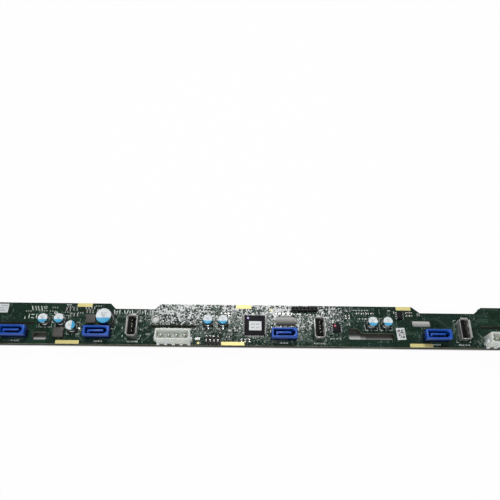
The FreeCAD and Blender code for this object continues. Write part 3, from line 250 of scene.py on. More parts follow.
def maskMaterial(plan):
    # glass-epoxy board under glossy green solder mask; bare laminate shows on every routed wall
    made, tree, shader, where = newMaterial("solder mask over laminate")
    normal = addNode(tree, "ShaderNodeNewGeometry").outputs["Normal"]
    facing = addNode(tree, "ShaderNodeSeparateXYZ", None, {0: normal})
    level = addNode(tree, "ShaderNodeMath", {"operation": "ABSOLUTE"}, {0: facing.outputs["Z"]})
    flat = addNode(tree, "ShaderNodeMath", {"operation": "GREATER_THAN"},
                   {0: level.outputs[0], 1: plan["flat"]})
    # copper pours seen through the mask: blocky patches a few millimetres across
    patch = addNode(tree, "ShaderNodeTexVoronoi", {"distance": "CHEBYCHEV"},
                    {"Scale": 1000.0 / plan["pourMm"], "Vector": where})
    patchTone = addNode(tree, "ShaderNodeSeparateColor", None, {0: patch.outputs["Color"]})
    pour = addNode(tree, "ShaderNodeMix", {"data_type": "RGBA"},
                   {0: patchTone.outputs[0], 6: colour(plan["pours"][0]), 7: colour(plan["pours"][1])})
    cloud = addNode(tree, "ShaderNodeTexNoise", None,
                    {"Scale": 1000.0 / plan["cloudMm"], "Detail": 3.0, "Vector": where})
    shade = addNode(tree, "ShaderNodeMix", {"data_type": "RGBA", "blend_type": "MULTIPLY"},
                    {0: plan["clouds"], 6: pour.outputs[2], 7: cloud.outputs["Color"]})
    fibre = addNode(tree, "ShaderNodeTexWave", None,
                    {"Scale": 1000.0 / plan["fibreMm"], "Distortion": 2.0, "Vector": where})
    wall = addNode(tree, "ShaderNodeMix", {"data_type": "RGBA"},
                   {0: fibre.outputs["Fac"], 6: colour(plan["laminate"][0]), 7: colour(plan["laminate"][1])})
    skin = addNode(tree, "ShaderNodeMix", {"data_type": "RGBA"},
                   {0: flat.outputs[0], 6: wall.outputs[2], 7: shade.outputs[2]})
    tree.links.new(skin.outputs[2], shader.inputs["Base Color"])
    # short runs of copper, drawn coarser than real ones so that they show: cells under a millimetre
    # across, each a little off level, and some of them dull
    cell = addNode(tree, "ShaderNodeTexVoronoi", {"distance": "MANHATTAN"},
                   {"Scale": 1000.0 / plan["cellMm"], "Vector": where}).outputs["Color"]
    centred = addNode(tree, "ShaderNodeVectorMath", {"operation": "SUBTRACT"}, {0: cell, 1: (0.5, 0.5, 0.5)})
    lean = addNode(tree, "ShaderNodeVectorMath", {"operation": "SCALE"},
                   {0: centred.outputs[0], "Scale": plan["lean"]})
    tipped = addNode(tree, "ShaderNodeVectorMath", {"operation": "ADD"}, {0: normal, 1: lean.outputs[0]})
    even = addNode(tree, "ShaderNodeVectorMath", {"operation": "NORMALIZE"}, {0: tipped.outputs[0]})
    pick = addNode(tree, "ShaderNodeSeparateXYZ", None, {0: cell})
    crowd = addNode(tree, "ShaderNodeMath", {"operation": "MULTIPLY_ADD"},
                    {0: patchTone.outputs[1], 1: plan["crowding"], 2: pick.outputs["Z"]})
    shine = addNode(tree, "ShaderNodeMapRange", None,
                    {"Value": crowd.outputs[0], "From Min": plan["cut"][0], "From Max": plan["cut"][1],
                     "To Min": plan["shine"][0], "To Max": plan["shine"][1]})
    tree.links.new(shine.outputs[0], shader.inputs["Specular IOR Level"])
    gloss = addNode(tree, "ShaderNodeMapRange", None,
                    {"Value": pick.outputs["X"], "To Min": plan["gloss"][0], "To Max": plan["gloss"][1]})
    dull = addNode(tree, "ShaderNodeMix", {"data_type": "FLOAT"},
                   {0: flat.outputs[0], 2: plan["wallRough"], 3: gloss.outputs[0]})
    tree.links.new(dull.outputs[0], shader.inputs["Roughness"])
    weave = addNode(tree, "ShaderNodeTexNoise", None,
                    {"Scale": 1000.0 / plan["weaveMm"], "Detail": 3.0, "Vector": where})
    relief = addNode(tree, "ShaderNodeBump", None,
                     {"Strength": plan["bump"], "Distance": mm(plan["bumpMm"]),
                      "Height": weave.outputs["Fac"], "Normal": even.outputs[0]})
    tree.links.new(relief.outputs["Normal"], shader.inputs["Normal"])
    shader.inputs["IOR"].default_value = plan["ior"]
    return made


finishes["solderMask"] = maskMaterial(maskPlan)
print("stage: finishes made,", len(finishes))


def onlySelect(*chosen):
    bpy.ops.object.select_all(action="DESELECT")
    for item in chosen:
        item.select_set(True)
    bpy.context.view_layer.objects.active = chosen[0]


def bakePlace(item):
    # the place goes into the mesh, and the object stays at the origin
    item.data.transform(item.matrix_world)
    item.matrix_world = Matrix.Identity(4)


def handOver(item, name, finish, standsFor=()):
    item.name = name
    if finish is not None:
        item.data.materials.clear()
        item.data.materials.append(finishes[finish])
    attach(item, "root")
    if standsFor:
        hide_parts(*standsFor)
    return item


def joinUp(items):
    if len(items) == 1:
        return items[0]
    onlySelect(*items)
    bpy.ops.object.join()
    return bpy.context.view_layer.objects.active


def repeated(source, places):
    # copies of one modelled shape, each with a mesh of its own, joined to one object
    copies = []
    for place in places:
        twin = source.copy()
        twin.data = source.data.copy()
        twin.data.transform(place)
        bpy.context.scene.collection.objects.link(twin)
        copies.append(twin)
    bpy.data.objects.remove(source)
    return joinUp(copies)


def placeAt(point, turn=0.0, stretch=(1, 1, 1)):
    turned = Matrix.Rotation(math.radians(turn), 4, "Z")
    return Matrix.Translation(point) @ turned @ Matrix.Diagonal((*stretch, 1))


def easeEdges(item, width, angle):
    # edges sharper than the angle are rounded, width in mm
    ease = item.modifiers.new("ease", "BEVEL")
    ease.width = mm(width)
    ease.segments = 2
    ease.limit_method = "ANGLE"
    ease.angle_limit = math.radians(angle)
    onlySelect(item)
    bpy.ops.object.modifier_apply(modifier="ease")


def softenedCopy(nodeName, width):
    # the CAD solid again: loose triangles merged, and edges eased as a mould or a press leaves them
    source = nodes[nodeName]
    twin = source.copy()
    twin.data = source.data.copy()
    twin.parent = None
    for key in list(twin.keys()):
        if key.startswith("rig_"):
            del twin[key]
    bpy.context.scene.collection.objects.link(twin)
    onlySelect(twin)
    bpy.ops.object.mode_set(mode="EDIT")
    bpy.ops.mesh.select_all(action="SELECT")
    bpy.ops.mesh.remove_doubles(threshold=0.000002)
    bpy.ops.mesh.dissolve_limited(angle_limit=math.radians(2))
    bpy.ops.object.mode_set(mode="OBJECT")
    easeEdges(twin, width, 32)
    bpy.ops.object.shade_smooth_by_angle(angle=math.radians(35))
    return twin


def slab(long, deep, tall, easing=0.0):
    # a small flat block centred on the origin, standing on it
    bpy.ops.object.select_all(action="DESELECT")
    bpy.ops.mesh.primitive_cube_add(size=1, location=(0, 0, mm(tall) / 2))
    made = bpy.context.object
    made.scale = (mm(long), mm(deep), mm(tall))
    bpy.context.view_layer.update()
    bakePlace(made)
    if easing:
        easeEdges(made, easing, 30)
    return made


def turnedShape(sides, radius, low, high, steps=(), way=1):
    # a cylinder from low to high, then each step goes on up or down (way) and takes a new radius, in mm
    bpy.ops.object.select_all(action="DESELECT")
    bpy.ops.mesh.primitive_cylinder_add(vertices=sides, radius=mm(radius), depth=mm(high - low),
                                        location=(0, 0, mm((low + high) / 2)))
    made = bpy.context.object
    bakePlace(made)
    onlySelect(made)
    bpy.ops.object.mode_set(mode="EDIT")
    mesh = bmesh.from_edit_mesh(made.data)
    for face in mesh.faces:
        face.select_set(face.normal.z * way > 0.9)
    bmesh.update_edit_mesh(made.data)
    now = radius
    for rise, wide in steps:
        bpy.ops.mesh.extrude_region_move(TRANSFORM_OT_translate={"value": (0, 0, way * mm(rise))})
        bpy.ops.transform.resize(value=(wide / now, wide / now, 1), center_override=(0, 0, 0))
        now = wide
    bpy.ops.object.mode_set(mode="OBJECT")
    return made


# bare board and its ground pads
handOver(nodes["board"], "board", "solderMask")

padPlan = {
    "lift": 0.07, "easing": 0.02,
    # stations, length, depth and middle across
    "rows": (((83.6, 191.6, 301.4), 10.2, 2.6, boardPlan["width"] - 1.3),
             ((75.3, 184.6, 310.7), 15.4, 2.4, 1.2)),
}
pads = []
for stations, long, deep, across in padPlan["rows"]:
    for along in stations:
        plate = slab(long, deep, padPlan["lift"], padPlan["easing"])
        plate.data.transform(placeAt(spot(along, across)))
        pads.append(plate)
handOver(joinUp(pads), "groundPads", "bareGold")
print("stage: board and ground pads")

# moulded, pressed and sintered pieces taken from the solids
easedPieces = {
    # node prefix: (finish, record slot, edge easing in mm)
    "data_header": ("blueNylon", "blue_nylon", 0.16),
    "data_contacts": ("shadedContact", "gold_contact", 0.05),
    "port_shell": ("tinPlate", "tinned_steel", 0.05),
    "port_insulator": ("shadedPlastic", "black_plastic", 0.08),
    "port_contacts": ("paleContact", "gold_contact", 0.04),
    "power_header": ("naturalNylon", "natural_nylon", 0.22),
    "capacitor_base": ("blackPlastic", "black_plastic", 0.08),
    "power_inductor": ("ferrite", "ferrite", 0.12),
    "controller_body": ("mouldCompound", "mould_compound", 0.08),
    "controller_leads": ("leadPlate", "tinned_steel", 0.0),
    "memory_chip_body": ("mouldCompound", "mould_compound", 0.06),
    "memory_chip_leads": ("leadPlate", "tinned_steel", 0.0),
    "driver_chip_body": ("mouldCompound", "mould_compound", 0.06),
    "driver_chip_leads": ("leadPlate", "tinned_steel", 0.0),
    "jumper_header": ("blackPlastic", "black_plastic", 0.1),
    "jumper_pins": ("tinnedBrass", "tinned_brass", 0.08),
    "socket_header": ("blackPlastic", "black_plastic", 0.1),
    "socket_pins": ("goldContact", "gold_contact", 0.05),
    "status_lamp": ("lampLens", "lamp_white", 0.06),
    "drive_receptacle": ("blackPlastic", "black_plastic", 0.14),
    "drive_contacts": ("goldContact", "gold_contact", 0.04),
}
for nodeName in sorted(nodes):
    for prefix, (finish, slotName, easing) in easedPieces.items():
        if nodeName.startswith(prefix):
            if easing:
                twin = softenedCopy(nodeName, easing)
                handOver(twin, nodeName + "_dressed", finish, (nodeName,))
            else:
                nodes[nodeName].data.materials.clear()
                nodes[nodeName].data.materials.append(finishes[finish])
print("stage: moulded pieces eased")

# capacitor cans, with printed marks on their lids and solder tabs at their feet
canPlan = {
    "small": {"radius": 3.15, "tall": 7.4, "tabAt": 3.9},
    "large": {"radius": 5.0, "tall": 10.2, "tabAt": 5.9},
    "seat": 1.0,
    "sides": 48,
    "foot": {"inset": 0.25, "tall": 0.3},
    "aboveWall": 0.45,      # the shoulder and the lid's rim take this much of the height
    "belowWall": 1.45,      # the foot, the bead groove and its two flanks
    "lidFrom": 0.75,        # faces this near the top belong to the lid, and level ones within the next
    "levelFrom": 1.0,
    "level": 0.3,
    "stripe": 0.30,         # the printed segment starts this share of the radius before the middle
    "markDeep": 0.34,
    "markSink": 0.05,
    "marks": ((-0.55, 1.05, 1.0), (0.75, 1.05, 0.8), (-0.2, 0.2, 1.9), (0.1, -0.45, 1.2)),
    "tab": (1.1, 1.9, 0.14, 0.03),
    "places": ((59.1, 15.3, 0, "small"), (69.6, 15.4, 0, "small"), (77.9, 10.6, 90, "small"),
               (99.6, 16.4, 0, "large"), (167.8, 15.6, 0, "small"), (177.9, 15.6, 0, "small"),
               (278.0, 15.4, 0, "small"), (288.0, 15.5, 0, "small")),
}


def turnedCan(radius, tall, seat):
    foot = canPlan["foot"]
    wall = tall - seat - foot["tall"] - canPlan["belowWall"] - canPlan["aboveWall"]
    # rise and new radius of each step up the can: foot, bead groove, wall, rounded shoulder, lid rim, lid
    steps = ((0.25, radius), (0.5, radius), (0.2, radius - 0.32), (0.3, radius - 0.32), (0.2, radius),
             (wall, radius), (0.2, radius - 0.08), (0.15, radius - 0.24),
             (0.1, radius - 0.5), (-0.05, radius - 0.62))
    can = turnedShape(canPlan["sides"], radius - foot["inset"], seat, seat + foot["tall"], steps)
    cut = -mm(radius * canPlan["stripe"])
    bpy.ops.object.mode_set(mode="EDIT")
    bpy.ops.mesh.select_all(action="SELECT")
    bpy.ops.mesh.bisect(plane_co=(0, cut, 0), plane_no=(0, 1, 0))
    bpy.ops.object.mode_set(mode="OBJECT")
    for finish in ("canAluminium", "canLid", "canStripe"):
        can.data.materials.append(finishes[finish])
    for face in can.data.polygons:
        onLid = face.center.z > mm(tall - canPlan["lidFrom"])
        onRim = face.normal.z > canPlan["level"] and face.center.z > mm(tall - canPlan["levelFrom"])
        if onLid or onRim:
            face.material_index = 2 if face.center.y < cut else 1
    bpy.ops.object.shade_smooth_by_angle(angle=math.radians(40))
    return can


lidMarks = []
tabs = []
for number, (along, across, turn, kindName) in enumerate(canPlan["places"], 1):
    kind = canPlan[kindName]
    can = turnedCan(kind["radius"], kind["tall"], canPlan["seat"])
    can.data.transform(placeAt(spot(along, across), turn))
    handOver(can, "can%d" % number, None, ("capacitor_can_%d" % number,))
    lid = placeAt(spot(along, across, kind["tall"] - canPlan["markSink"]), turn)
    size = kind["radius"] / canPlan["small"]["radius"]
    for shiftX, shiftY, long in canPlan["marks"]:
        shift = Vector((mm(shiftX * size), mm(shiftY * size), 0))
        lidMarks.append(lid @ placeAt(shift, 0, (long * size, canPlan["markDeep"] * size, 1)))
    for side in (-1, 1):
        tabs.append(placeAt(spot(along, across), turn) @ placeAt(Vector((0, mm(side * kind["tabAt"]), 0))))
print("stage: capacitor cans")
handOver(repeated(slab(1, 1, 0.02), lidMarks), "canMarks", "labelGrey")
handOver(repeated(slab(*canPlan["tab"]), tabs), "canTabs", "solder")

# chip parts: fired bodies with tinned ends on their solder
chipPlan = {
    # length, depth, height and easing of the fired body, a tinned end and the solder under it
    "body": (0.98, 0.77, 0.48, 0.03),
    "end": (0.32, 0.8, 0.5, 0.06),
    "foot": (0.55, 1.04, 0.09, 0.03),
    "endAt": 0.64,
    "footAt": 0.85,
    "rows": (
        # first station, across, pitch, how many, turned across the board
        (71.6, 24.0, 2.4, 4, True), (74.9, 19.9, 2.3, 3, True), (85.6, 22.6, 2.0, 3, True),
        (176.6, 21.4, 2.6, 3, True), (190.4, 3.4, 2.6, 3, True), (210.8, 11.7, 2.2, 2, True),
        (214.6, 22.4, 2.9, 4, False), (261.2, 20.6, 2.4, 2, True), (269.6, 23.2, 3.3, 4, False),
        (303.6, 21.8, 2.4, 2, False), (303.6, 24.0, 2.4, 2, False),
    ),
}
bodies = []
ends = []
feet = []
for along, across, pitch, count, turned in chipPlan["rows"]:
    for number in range(count):
        place = placeAt(spot(along + number * pitch, across), 90 if turned else 0)
        bodies.append(place)
        for side in (-1, 1):
            ends.append(place @ placeAt(Vector((mm(side * chipPlan["endAt"]), 0, 0))))
            feet.append(place @ placeAt(Vector((mm(side * chipPlan["footAt"]), 0, 0))))
handOver(repeated(slab(*chipPlan["body"]), bodies), "chipBodies", "chipCeramic",
         ("chip_parts",))
handOver(repeated(slab(*chipPlan["end"]), ends), "chipEnds", "tinPlate")
handOver(repeated(slab(*chipPlan["foot"]), feet), "chipSolder", "solder")
print("stage: chip parts,", len(bodies))

# power pins: turned brass with a rounded point, a square tail through the board
pinPlan = {
    "sides": 24, "radius": 1.05, "top": 10.6, "pitch": 5.08, "across": 3.75,
    "tailWide": 1.1, "tailDeep": 2.8, "tailInto": 0.6, "tailEasing": 0.12,
    "point": ((0.35, 0.97), (0.4, 0.84), (0.4, 0.64), (0.25, 0.42), (0.1, 0.2)),
    "headers": (145.6, 364.9),
}
for number, along in enumerate(pinPlan["headers"], 1):
    point = [(rise, share * pinPlan["radius"]) for rise, share in pinPlan["point"]]
    shank = pinPlan["top"] - sum(rise for rise, share in pinPlan["point"])
    pin = turnedShape(pinPlan["sides"], pinPlan["radius"], 0.0, shank, point)
    bpy.ops.object.shade_smooth_by_angle(angle=math.radians(40))
    tail = slab(pinPlan["tailWide"], pinPlan["tailWide"], pinPlan["tailDeep"] + pinPlan["tailInto"],
                pinPlan["tailEasing"])
    tail.data.transform(Matrix.Translation((0, 0, mm(-pinPlan["tailDeep"]))))
    pin = joinUp([pin, tail])
    row = [placeAt(spot(along + (place - 1.5) * pinPlan["pitch"], pinPlan["across"])) for place in range(4)]
    handOver(repeated(pin, row), "powerPins%d" % number, "tinnedBrass",
             ("power_pins_%d" % number,))
print("stage: power pins")

# solder joints on the underside, one round each tail that comes through
jointPlan = {
    "sides": 14, "foot": 0.82, "footTall": 0.06,
    "steps": ((0.08, 0.72), (0.12, 0.56), (0.2, 0.42), (0.24, 0.34), (0.06, 0.2)),
    "through": 0.6,         # a corner this far below the board belongs to a tail
    "gather": 0.9,          # corners nearer than this belong to one tail
    # how large the joints of a node are, by the node's prefix
    "scales": {"data_contacts": 0.62, "port_contacts": 0.85, "port_shell": 0.85, "power_pins": 1.25,
               "jumper_pins": 0.85, "socket_pins": 0.85},
}


def tailSpots(nodeName):
    # where a node's leads leave the board, read from its lowest corners
    under = -boardPlan["thick"]
    found = []
    for vertex in nodes[nodeName].data.vertices:
        point = nodes[nodeName].matrix_world @ vertex.co
        if point.z < mm(under - jointPlan["through"]):
            for group in found:
                if (group[0].xy - point.xy).length < mm(jointPlan["gather"]):
                    group.append(point)
                    break
            else:
                found.append([point])
    middles = []
    for group in found:
        low = Vector((min(p.x for p in group), min(p.y for p in group), mm(under)))
        high = Vector((max(p.x for p in group), max(p.y for p in group), mm(under)))
        middles.append((low + high) / 2)
    return middles


joint = turnedShape(jointPlan["sides"], jointPlan["foot"], -jointPlan["footTall"], 0.0,
                    jointPlan["steps"], -1)
bpy.ops.object.shade_smooth_by_angle(angle=math.radians(50))
jointSpots = []
for nodeName in sorted(nodes):
    for prefix, scale in jointPlan["scales"].items():
        if nodeName.startswith(prefix):
            jointSpots += [placeAt(middle, 0, (scale, scale, 1)) for middle in tailSpots(nodeName)]
handOver(repeated(joint, jointSpots), "solderJoints", "solder")
print("stage: solder joints,", len(jointSpots))

# plated ring round the mounting hole, both faces
ringPlan = {"sides": 48, "inner": 1.95, "outer": 2.75, "thick": 0.04}


def flatRing(plan, height):
    bpy.ops.object.select_all(action="DESELECT")
    bpy.ops.mesh.primitive_circle_add(vertices=plan["sides"], radius=mm(plan["inner"]), fill_type="NOTHING",
                                      location=(0, 0, 0))
    ring = bpy.context.object
    onlySelect(ring)
    bpy.ops.object.mode_set(mode="EDIT")
    bpy.ops.mesh.select_all(action="SELECT")
    bpy.ops.mesh.extrude_edges_move()
    widen = plan["outer"] / plan["inner"]
    bpy.ops.transform.resize(value=(widen, widen, 1), center_override=(0, 0, 0))
    bpy.ops.mesh.select_all(action="SELECT")
    bpy.ops.mesh.normals_make_consistent(inside=False)
    bpy.ops.object.mode_set(mode="OBJECT")
    thicken = ring.modifiers.new("thicken", "SOLIDIFY")
    thicken.thickness = mm(plan["thick"])
    thicken.offset = 0
    bpy.ops.object.modifier_apply(modifier="thicken")
    ring.data.transform(Matrix.Translation((0, 0, mm(height))))
    return ring


rings = [flatRing(ringPlan, ringPlan["thick"] / 2),
         flatRing(ringPlan, -boardPlan["thick"] - ringPlan["thick"] / 2)]
handOver(joinUp(rings), "holeRings", "padSolder")

# round targets for the placing machine, and small open pads
targetPlan = {"sides": 24, "radius": 0.75, "thick": 0.04,
              "places": ((161.7, 1.4), (210.6, 24.9), (14.0, 4.0), (408.0, 24.0))}
target = turnedShape(targetPlan["sides"], targetPlan["radius"], 0.0, targetPlan["thick"])
handOver(repeated(target, [placeAt(spot(*place)) for place in targetPlan["places"]]), "targets", "bareGold")

openPadPlan = {
    "thick": 0.06,
    # first station, across, pitch, how many, and each pad's length and depth
    "rows": (
        (84.6, 25.1, 1.9, 4, 0.7, 1.9), (267.0, 25.4, 1.9, 6, 1.1, 0.8),
        (213.0, 24.9, 1.7, 6, 0.9, 0.7), (213.0, 22.0, 1.7, 3, 0.7, 0.7),
        (270.5, 19.4, 2.2, 5, 0.8, 1.1), (246.4, 12.0, 1.3, 2, 0.7, 1.4),
        (262.0, 15.2, 1.5, 2, 0.7, 1.3), (250.2, 5.2, 2.1, 4, 0.9, 0.7),
        (186.0, 10.2, 1.4, 2, 0.7, 1.2), (71.0, 21.8, 1.6, 3, 0.7, 0.9),
        (44.8, 22.2, 1.5, 3, 0.7, 1.1), (53.6, 22.6, 1.6, 4, 0.8, 0.8),
        (79.8, 21.4, 1.5, 3, 0.7, 1.1), (91.4, 26.4, 1.6, 3, 0.7, 0.8),
        (72.4, 25.6, 1.5, 3, 0.8, 0.7), (62.2, 25.0, 1.5, 3, 0.7, 0.9),
        (161.5, 23.5, 1.9, 4, 0.8, 0.8), (310.6, 22.8, 1.3, 2, 0.6, 2.0),
        (155.0, 7.0, 1.6, 2, 0.9, 0.7), (180.4, 5.6, 1.8, 2, 0.9, 0.7),
        (60.8, 22.4, 1.7, 3, 0.8, 0.8),
    ),
}
openPads = []
for left, across, pitch, count, long, deep in openPadPlan["rows"]:
    for number in range(count):
        openPads.append(placeAt(spot(left + number * pitch, across), 0, (long, deep, 1)))
handOver(repeated(slab(1, 1, openPadPlan["thick"]), openPads), "openPads", "padSolder")
print("stage: rings, targets and open pads")

# copper tracks under the mask, laid at random, as low ribbons that catch the light
trackPlan = {
    "seed": 11, "wide": 0.26, "tall": 0.05, "edge": 0.6, "probe": 0.4,
    "bundles": 150, "lines": (2, 6), "pitch": 0.62, "sideways": 0.25,
    "along": (4, 420), "across": (1.5, 27), "step": (3, 14),
    # on the underside, behind the receptacles' row
    "below": 260, "belowWider": 1.4, "belowSideways": 0.3, "belowAcross": (1.5, 21), "belowStep": (4, 16),
    "viaWide": 0.75, "viaTall": 0.05, "looseVias": 500, "viaAlong": (2, 423), "viaAcross": (1, 27.3),
}
closedBoxes = [
    # left, front, right, back of every opening and large part that no track crosses
    (51.4, 2.2, 61.6, 8.3), (213, 13.3, 227.3, 21), (305.9, 13.7, 319.4, 19), (20.3, 12.5, 52, 15.3),
    (129.1, 11.3, 160.8, 14.1), (261.9, 4.4, 293.6, 9.9), (261.9, 4.4, 272, 13), (352, 12.7, 383.7, 15.5),
    (129.4, 14.9, 134.8, 20.3), (66.8, 0, 83.8, 3), (176.2, 0, 193, 3), (302.4, 0, 319, 3),
    (77.9, 25, 89.3, 28.3), (185.9, 25, 197.3, 28.3), (295.7, 25, 307, 28.3),
    (101, 24.2, 135, 28.3), (307.1, 23.4, 355.4, 28.3),
]


def isOpen(along, across):
    edge = trackPlan["edge"]
    if not (edge < along < boardPlan["length"] - edge and edge < across < boardPlan["width"] - edge):
        return False
    for left, front, right, back in closedBoxes:
        if left < along < right and front < across < back:
            return False
    return True


def trackWalk(chance, along, across, sideways, stepLong):
    # straight runs that turn by an eighth, until one would cross something
    points = [(along, across)]
    heading = chance.choice((0.5, -0.5) if sideways else (0, 1)) * math.pi
    for turnNumber in range(chance.randint(2, 5)):
        reach = chance.uniform(0.6, 1.0) * stepLong
        fromAlong, fromAcross = points[-1]
        toAlong = fromAlong + math.cos(heading) * reach
        toAcross = fromAcross + math.sin(heading) * reach
        steps = int(reach / trackPlan["probe"]) + 1
        shares = [number / steps for number in range(1, steps + 1)]
        if not all(isOpen(fromAlong + (toAlong - fromAlong) * share,
                          fromAcross + (toAcross - fromAcross) * share) for share in shares):
            break
        points.append((toAlong, toAcross))
        heading += chance.choice((-1, 1)) * math.pi / 4
    return points


def ribbons(walks, name, wide, height):
    # one low ribbon along each walk, with sloping sides
    tall = trackPlan["tall"]
    section = bpy.data.curves.new(name + "Section", "CURVE")
    section.dimensions = "2D"
    outline = section.splines.new("POLY")
    outline.points.add(3)
    corners = ((-wide / 2, 0), (-wide / 2 + tall, tall), (wide / 2 - tall, tall), (wide / 2, 0))
    for number, (across, up) in enumerate(corners):
        outline.points[number].co = (mm(across), mm(up), 0, 1)
    sectionObject = bpy.data.objects.new(name + "Section", section)
    bpy.context.scene.collection.objects.link(sectionObject)
    path = bpy.data.curves.new(name, "CURVE")
    path.dimensions = "3D"
    path.twist_mode = "Z_UP"
    path.bevel_mode = "OBJECT"
    path.bevel_object = sectionObject
    for walk in walks:
        spline = path.splines.new("POLY")
        spline.points.add(len(walk) - 1)
        for number, (along, across) in enumerate(walk):
            spline.points[number].co = (*spot(along, across, height), 1)
    made = bpy.data.objects.new(name, path)
    bpy.context.scene.collection.objects.link(made)
    onlySelect(made)
    bpy.ops.object.convert(target="MESH")
    made = bpy.context.object
    bpy.data.objects.remove(sectionObject)
    return handOver(made, name, "maskedCopper")


chance = random.Random(trackPlan["seed"])
walks = []
trackEnds = []
for bundle in range(trackPlan["bundles"]):
    along = chance.uniform(*trackPlan["along"])
    across = chance.uniform(*trackPlan["across"])
    sideways = chance.random() < trackPlan["sideways"]
    lines = chance.randint(*trackPlan["lines"])
    state = chance.getstate()
    stepLong = chance.uniform(*trackPlan["step"])
    # every line of a bundle takes the same turns, one pitch further over
    for line in range(lines):
        chance.setstate(state)
        shift = line * trackPlan["pitch"]
        start = (along + (shift if sideways else 0), across + (0 if sideways else shift))
        walk = trackWalk(chance, start[0], start[1], sideways, stepLong) if isOpen(*start) else []
        if len(walk) > 1:
            walks.append(walk)
            trackEnds += [walk[0], walk[-1]]
    chance.seed(trackPlan["seed"] * 1000 + bundle)
ribbons(walks, "tracks", trackPlan["wide"], 0.0)
below = random.Random(trackPlan["seed"] + 1)
walksBelow = []
while len(walksBelow) < trackPlan["below"]:
    start = (below.uniform(*trackPlan["along"]), below.uniform(*trackPlan["belowAcross"]))
    if isOpen(*start):
        sideways = below.random() < trackPlan["belowSideways"]
        walk = trackWalk(below, start[0], start[1], sideways, below.uniform(*trackPlan["belowStep"]))
        if len(walk) > 1:
            walksBelow.append(walk)
ribbons(walksBelow, "tracksBelow", trackPlan["wide"] * trackPlan["belowWider"],
        -boardPlan["thick"] - trackPlan["tall"])

bpy.ops.object.select_all(action="DESELECT")
bpy.ops.mesh.primitive_cone_add(vertices=8, radius1=mm(trackPlan["viaWide"] / 2),
                                radius2=mm(trackPlan["viaWide"] / 4), depth=mm(trackPlan["viaTall"]),
                                location=(0, 0, mm(trackPlan["viaTall"] / 2)))
via = bpy.context.object
bakePlace(via)
viaSpots = [place for place in trackEnds if isOpen(*place)]
for number in range(trackPlan["looseVias"]):
    place = (chance.uniform(*trackPlan["viaAlong"]), chance.uniform(*trackPlan["viaAcross"]))
    if isOpen(*place):
        viaSpots.append(place)
handOver(repeated(via, [placeAt(spot(*place)) for place in viaSpots]), "vias", "maskedCopper")
print("stage: tracks and vias,", len(walks), len(viaSpots))

# printed marks, all plain bars: part outlines, short marks, and rows that stand in for words
inkPlan = {
    "tall": 0.03, "line": 0.22, "wordAcross": 1.9, "highBar": 1.1,
    "canSide": {"small": 8.2, "large": 12.0}, "canReach": 2.2,
    # bars that stand in for a connector's name: how many, how far before the middle, pitch, length,
    # height of the low ones, turns
    "headerWord": (6, 2.5, 1.0, 0.6, 0.7, 12, -10),
    "portWord": (8, 3.2, 0.95, 0.55, 0.8, 15, -12),
    "headers": (40.6, 95.3, 218.6, 320.6),
    "ports": (117.8, 242.2, 339.4), "portOutline": (11.3, 9.4, 15.6, 1.4),
    "driverOutline": (298.2, 21.8, 4.6, 5.4, 4.6),
    # tall bars along the left notch: heights and turns repeat
    "notch": {"count": 16, "along": 104.2, "pitch": 1.72, "across": 22.3, "dotDrop": 0.9, "wide": 0.62,
              "heights": (3.2, 1.8, 3.2, 0.6, 2.8), "turns": (14, -18, 0, 8)},
    # marks between the rear parts: station, across, length, depth, turn
    "marks": (
        (48.6, 24.4, 0.6, 3.4, 20), (50.9, 24.4, 0.6, 3.4, 20), (52.6, 24.4, 0.6, 3.4, 20),
        (54.8, 24.4, 0.6, 3.4, 20), (47.2, 18.8, 0.6, 3.0, 0), (49.6, 19.9, 1.9, 0.6, 0),
        (49.6, 17.6, 1.9, 0.6, 0), (52.2, 18.8, 0.6, 3.0, 0), (44.6, 17.6, 0.5, 1.8, 0),
        (110.5, 11.2, 0.5, 1.2, 0), (111.1, 5.7, 0.5, 1.2, 0), (122.9, 10.4, 0.5, 1.2, 0),
        (123.1, 5.9, 0.5, 1.2, 0), (122.4, 16.3, 0.5, 1.2, 0), (57.2, 24.4, 1.9, 0.5, 0),
        (57.2, 25.4, 2.7, 0.5, 0), (63.9, 21.2, 0.5, 1.7, 8), (64.8, 21.2, 0.5, 1.7, -8),
        (65.7, 21.2, 0.5, 1.7, 8), (72.8, 27.0, 3.4, 0.5, 0), (92.6, 23.2, 0.5, 1.9, 0),
        (93.5, 23.2, 0.5, 1.9, 10), (139.4, 22.6, 2.0, 0.5, 0), (143.8, 22.6, 1.4, 0.5, 0),
        (148.6, 20.7, 0.5, 1.7, 8), (149.5, 20.7, 0.5, 1.7, -8), (168.0, 25.6, 2.6, 0.5, 0),
        (171.4, 23.4, 1.4, 0.5, 0), (180.6, 24.4, 0.5, 1.7, 8), (181.5, 24.4, 0.5, 1.7, -8),
        (248.0, 20.4, 2.3, 0.5, 0), (251.6, 20.4, 1.4, 0.5, 0), (291.2, 25.4, 2.0, 0.5, 0),
        (294.6, 24.2, 0.5, 1.7, 0), (386.4, 22.4, 2.6, 0.5, 0), (391.0, 20.2, 0.5, 1.9, 8),
    ),
}


def cornerBars(along, across, long, deep, reach):
    # the four corners of an outline, as it is printed round a part
    line = inkPlan["line"]
    marks = []
    for sideways in (-1, 1):
        for lengthways in (-1, 1):
            edge = across + lengthways * deep / 2
            marks.append((along + sideways * (long - reach) / 2, edge, reach, line, 0))
            edge = along + sideways * long / 2
            marks.append((edge, across + lengthways * (deep - reach) / 2, line, reach, 0))
    return marks


def wordBars(along, count, before, pitch, long, low, lean, back):
    marks = []
    for number in range(count):
        high = inkPlan["highBar"] if number % 2 else low
        marks.append((along - before + number * pitch, inkPlan["wordAcross"], long, high,
                      lean if number % 3 else back))
    return marks


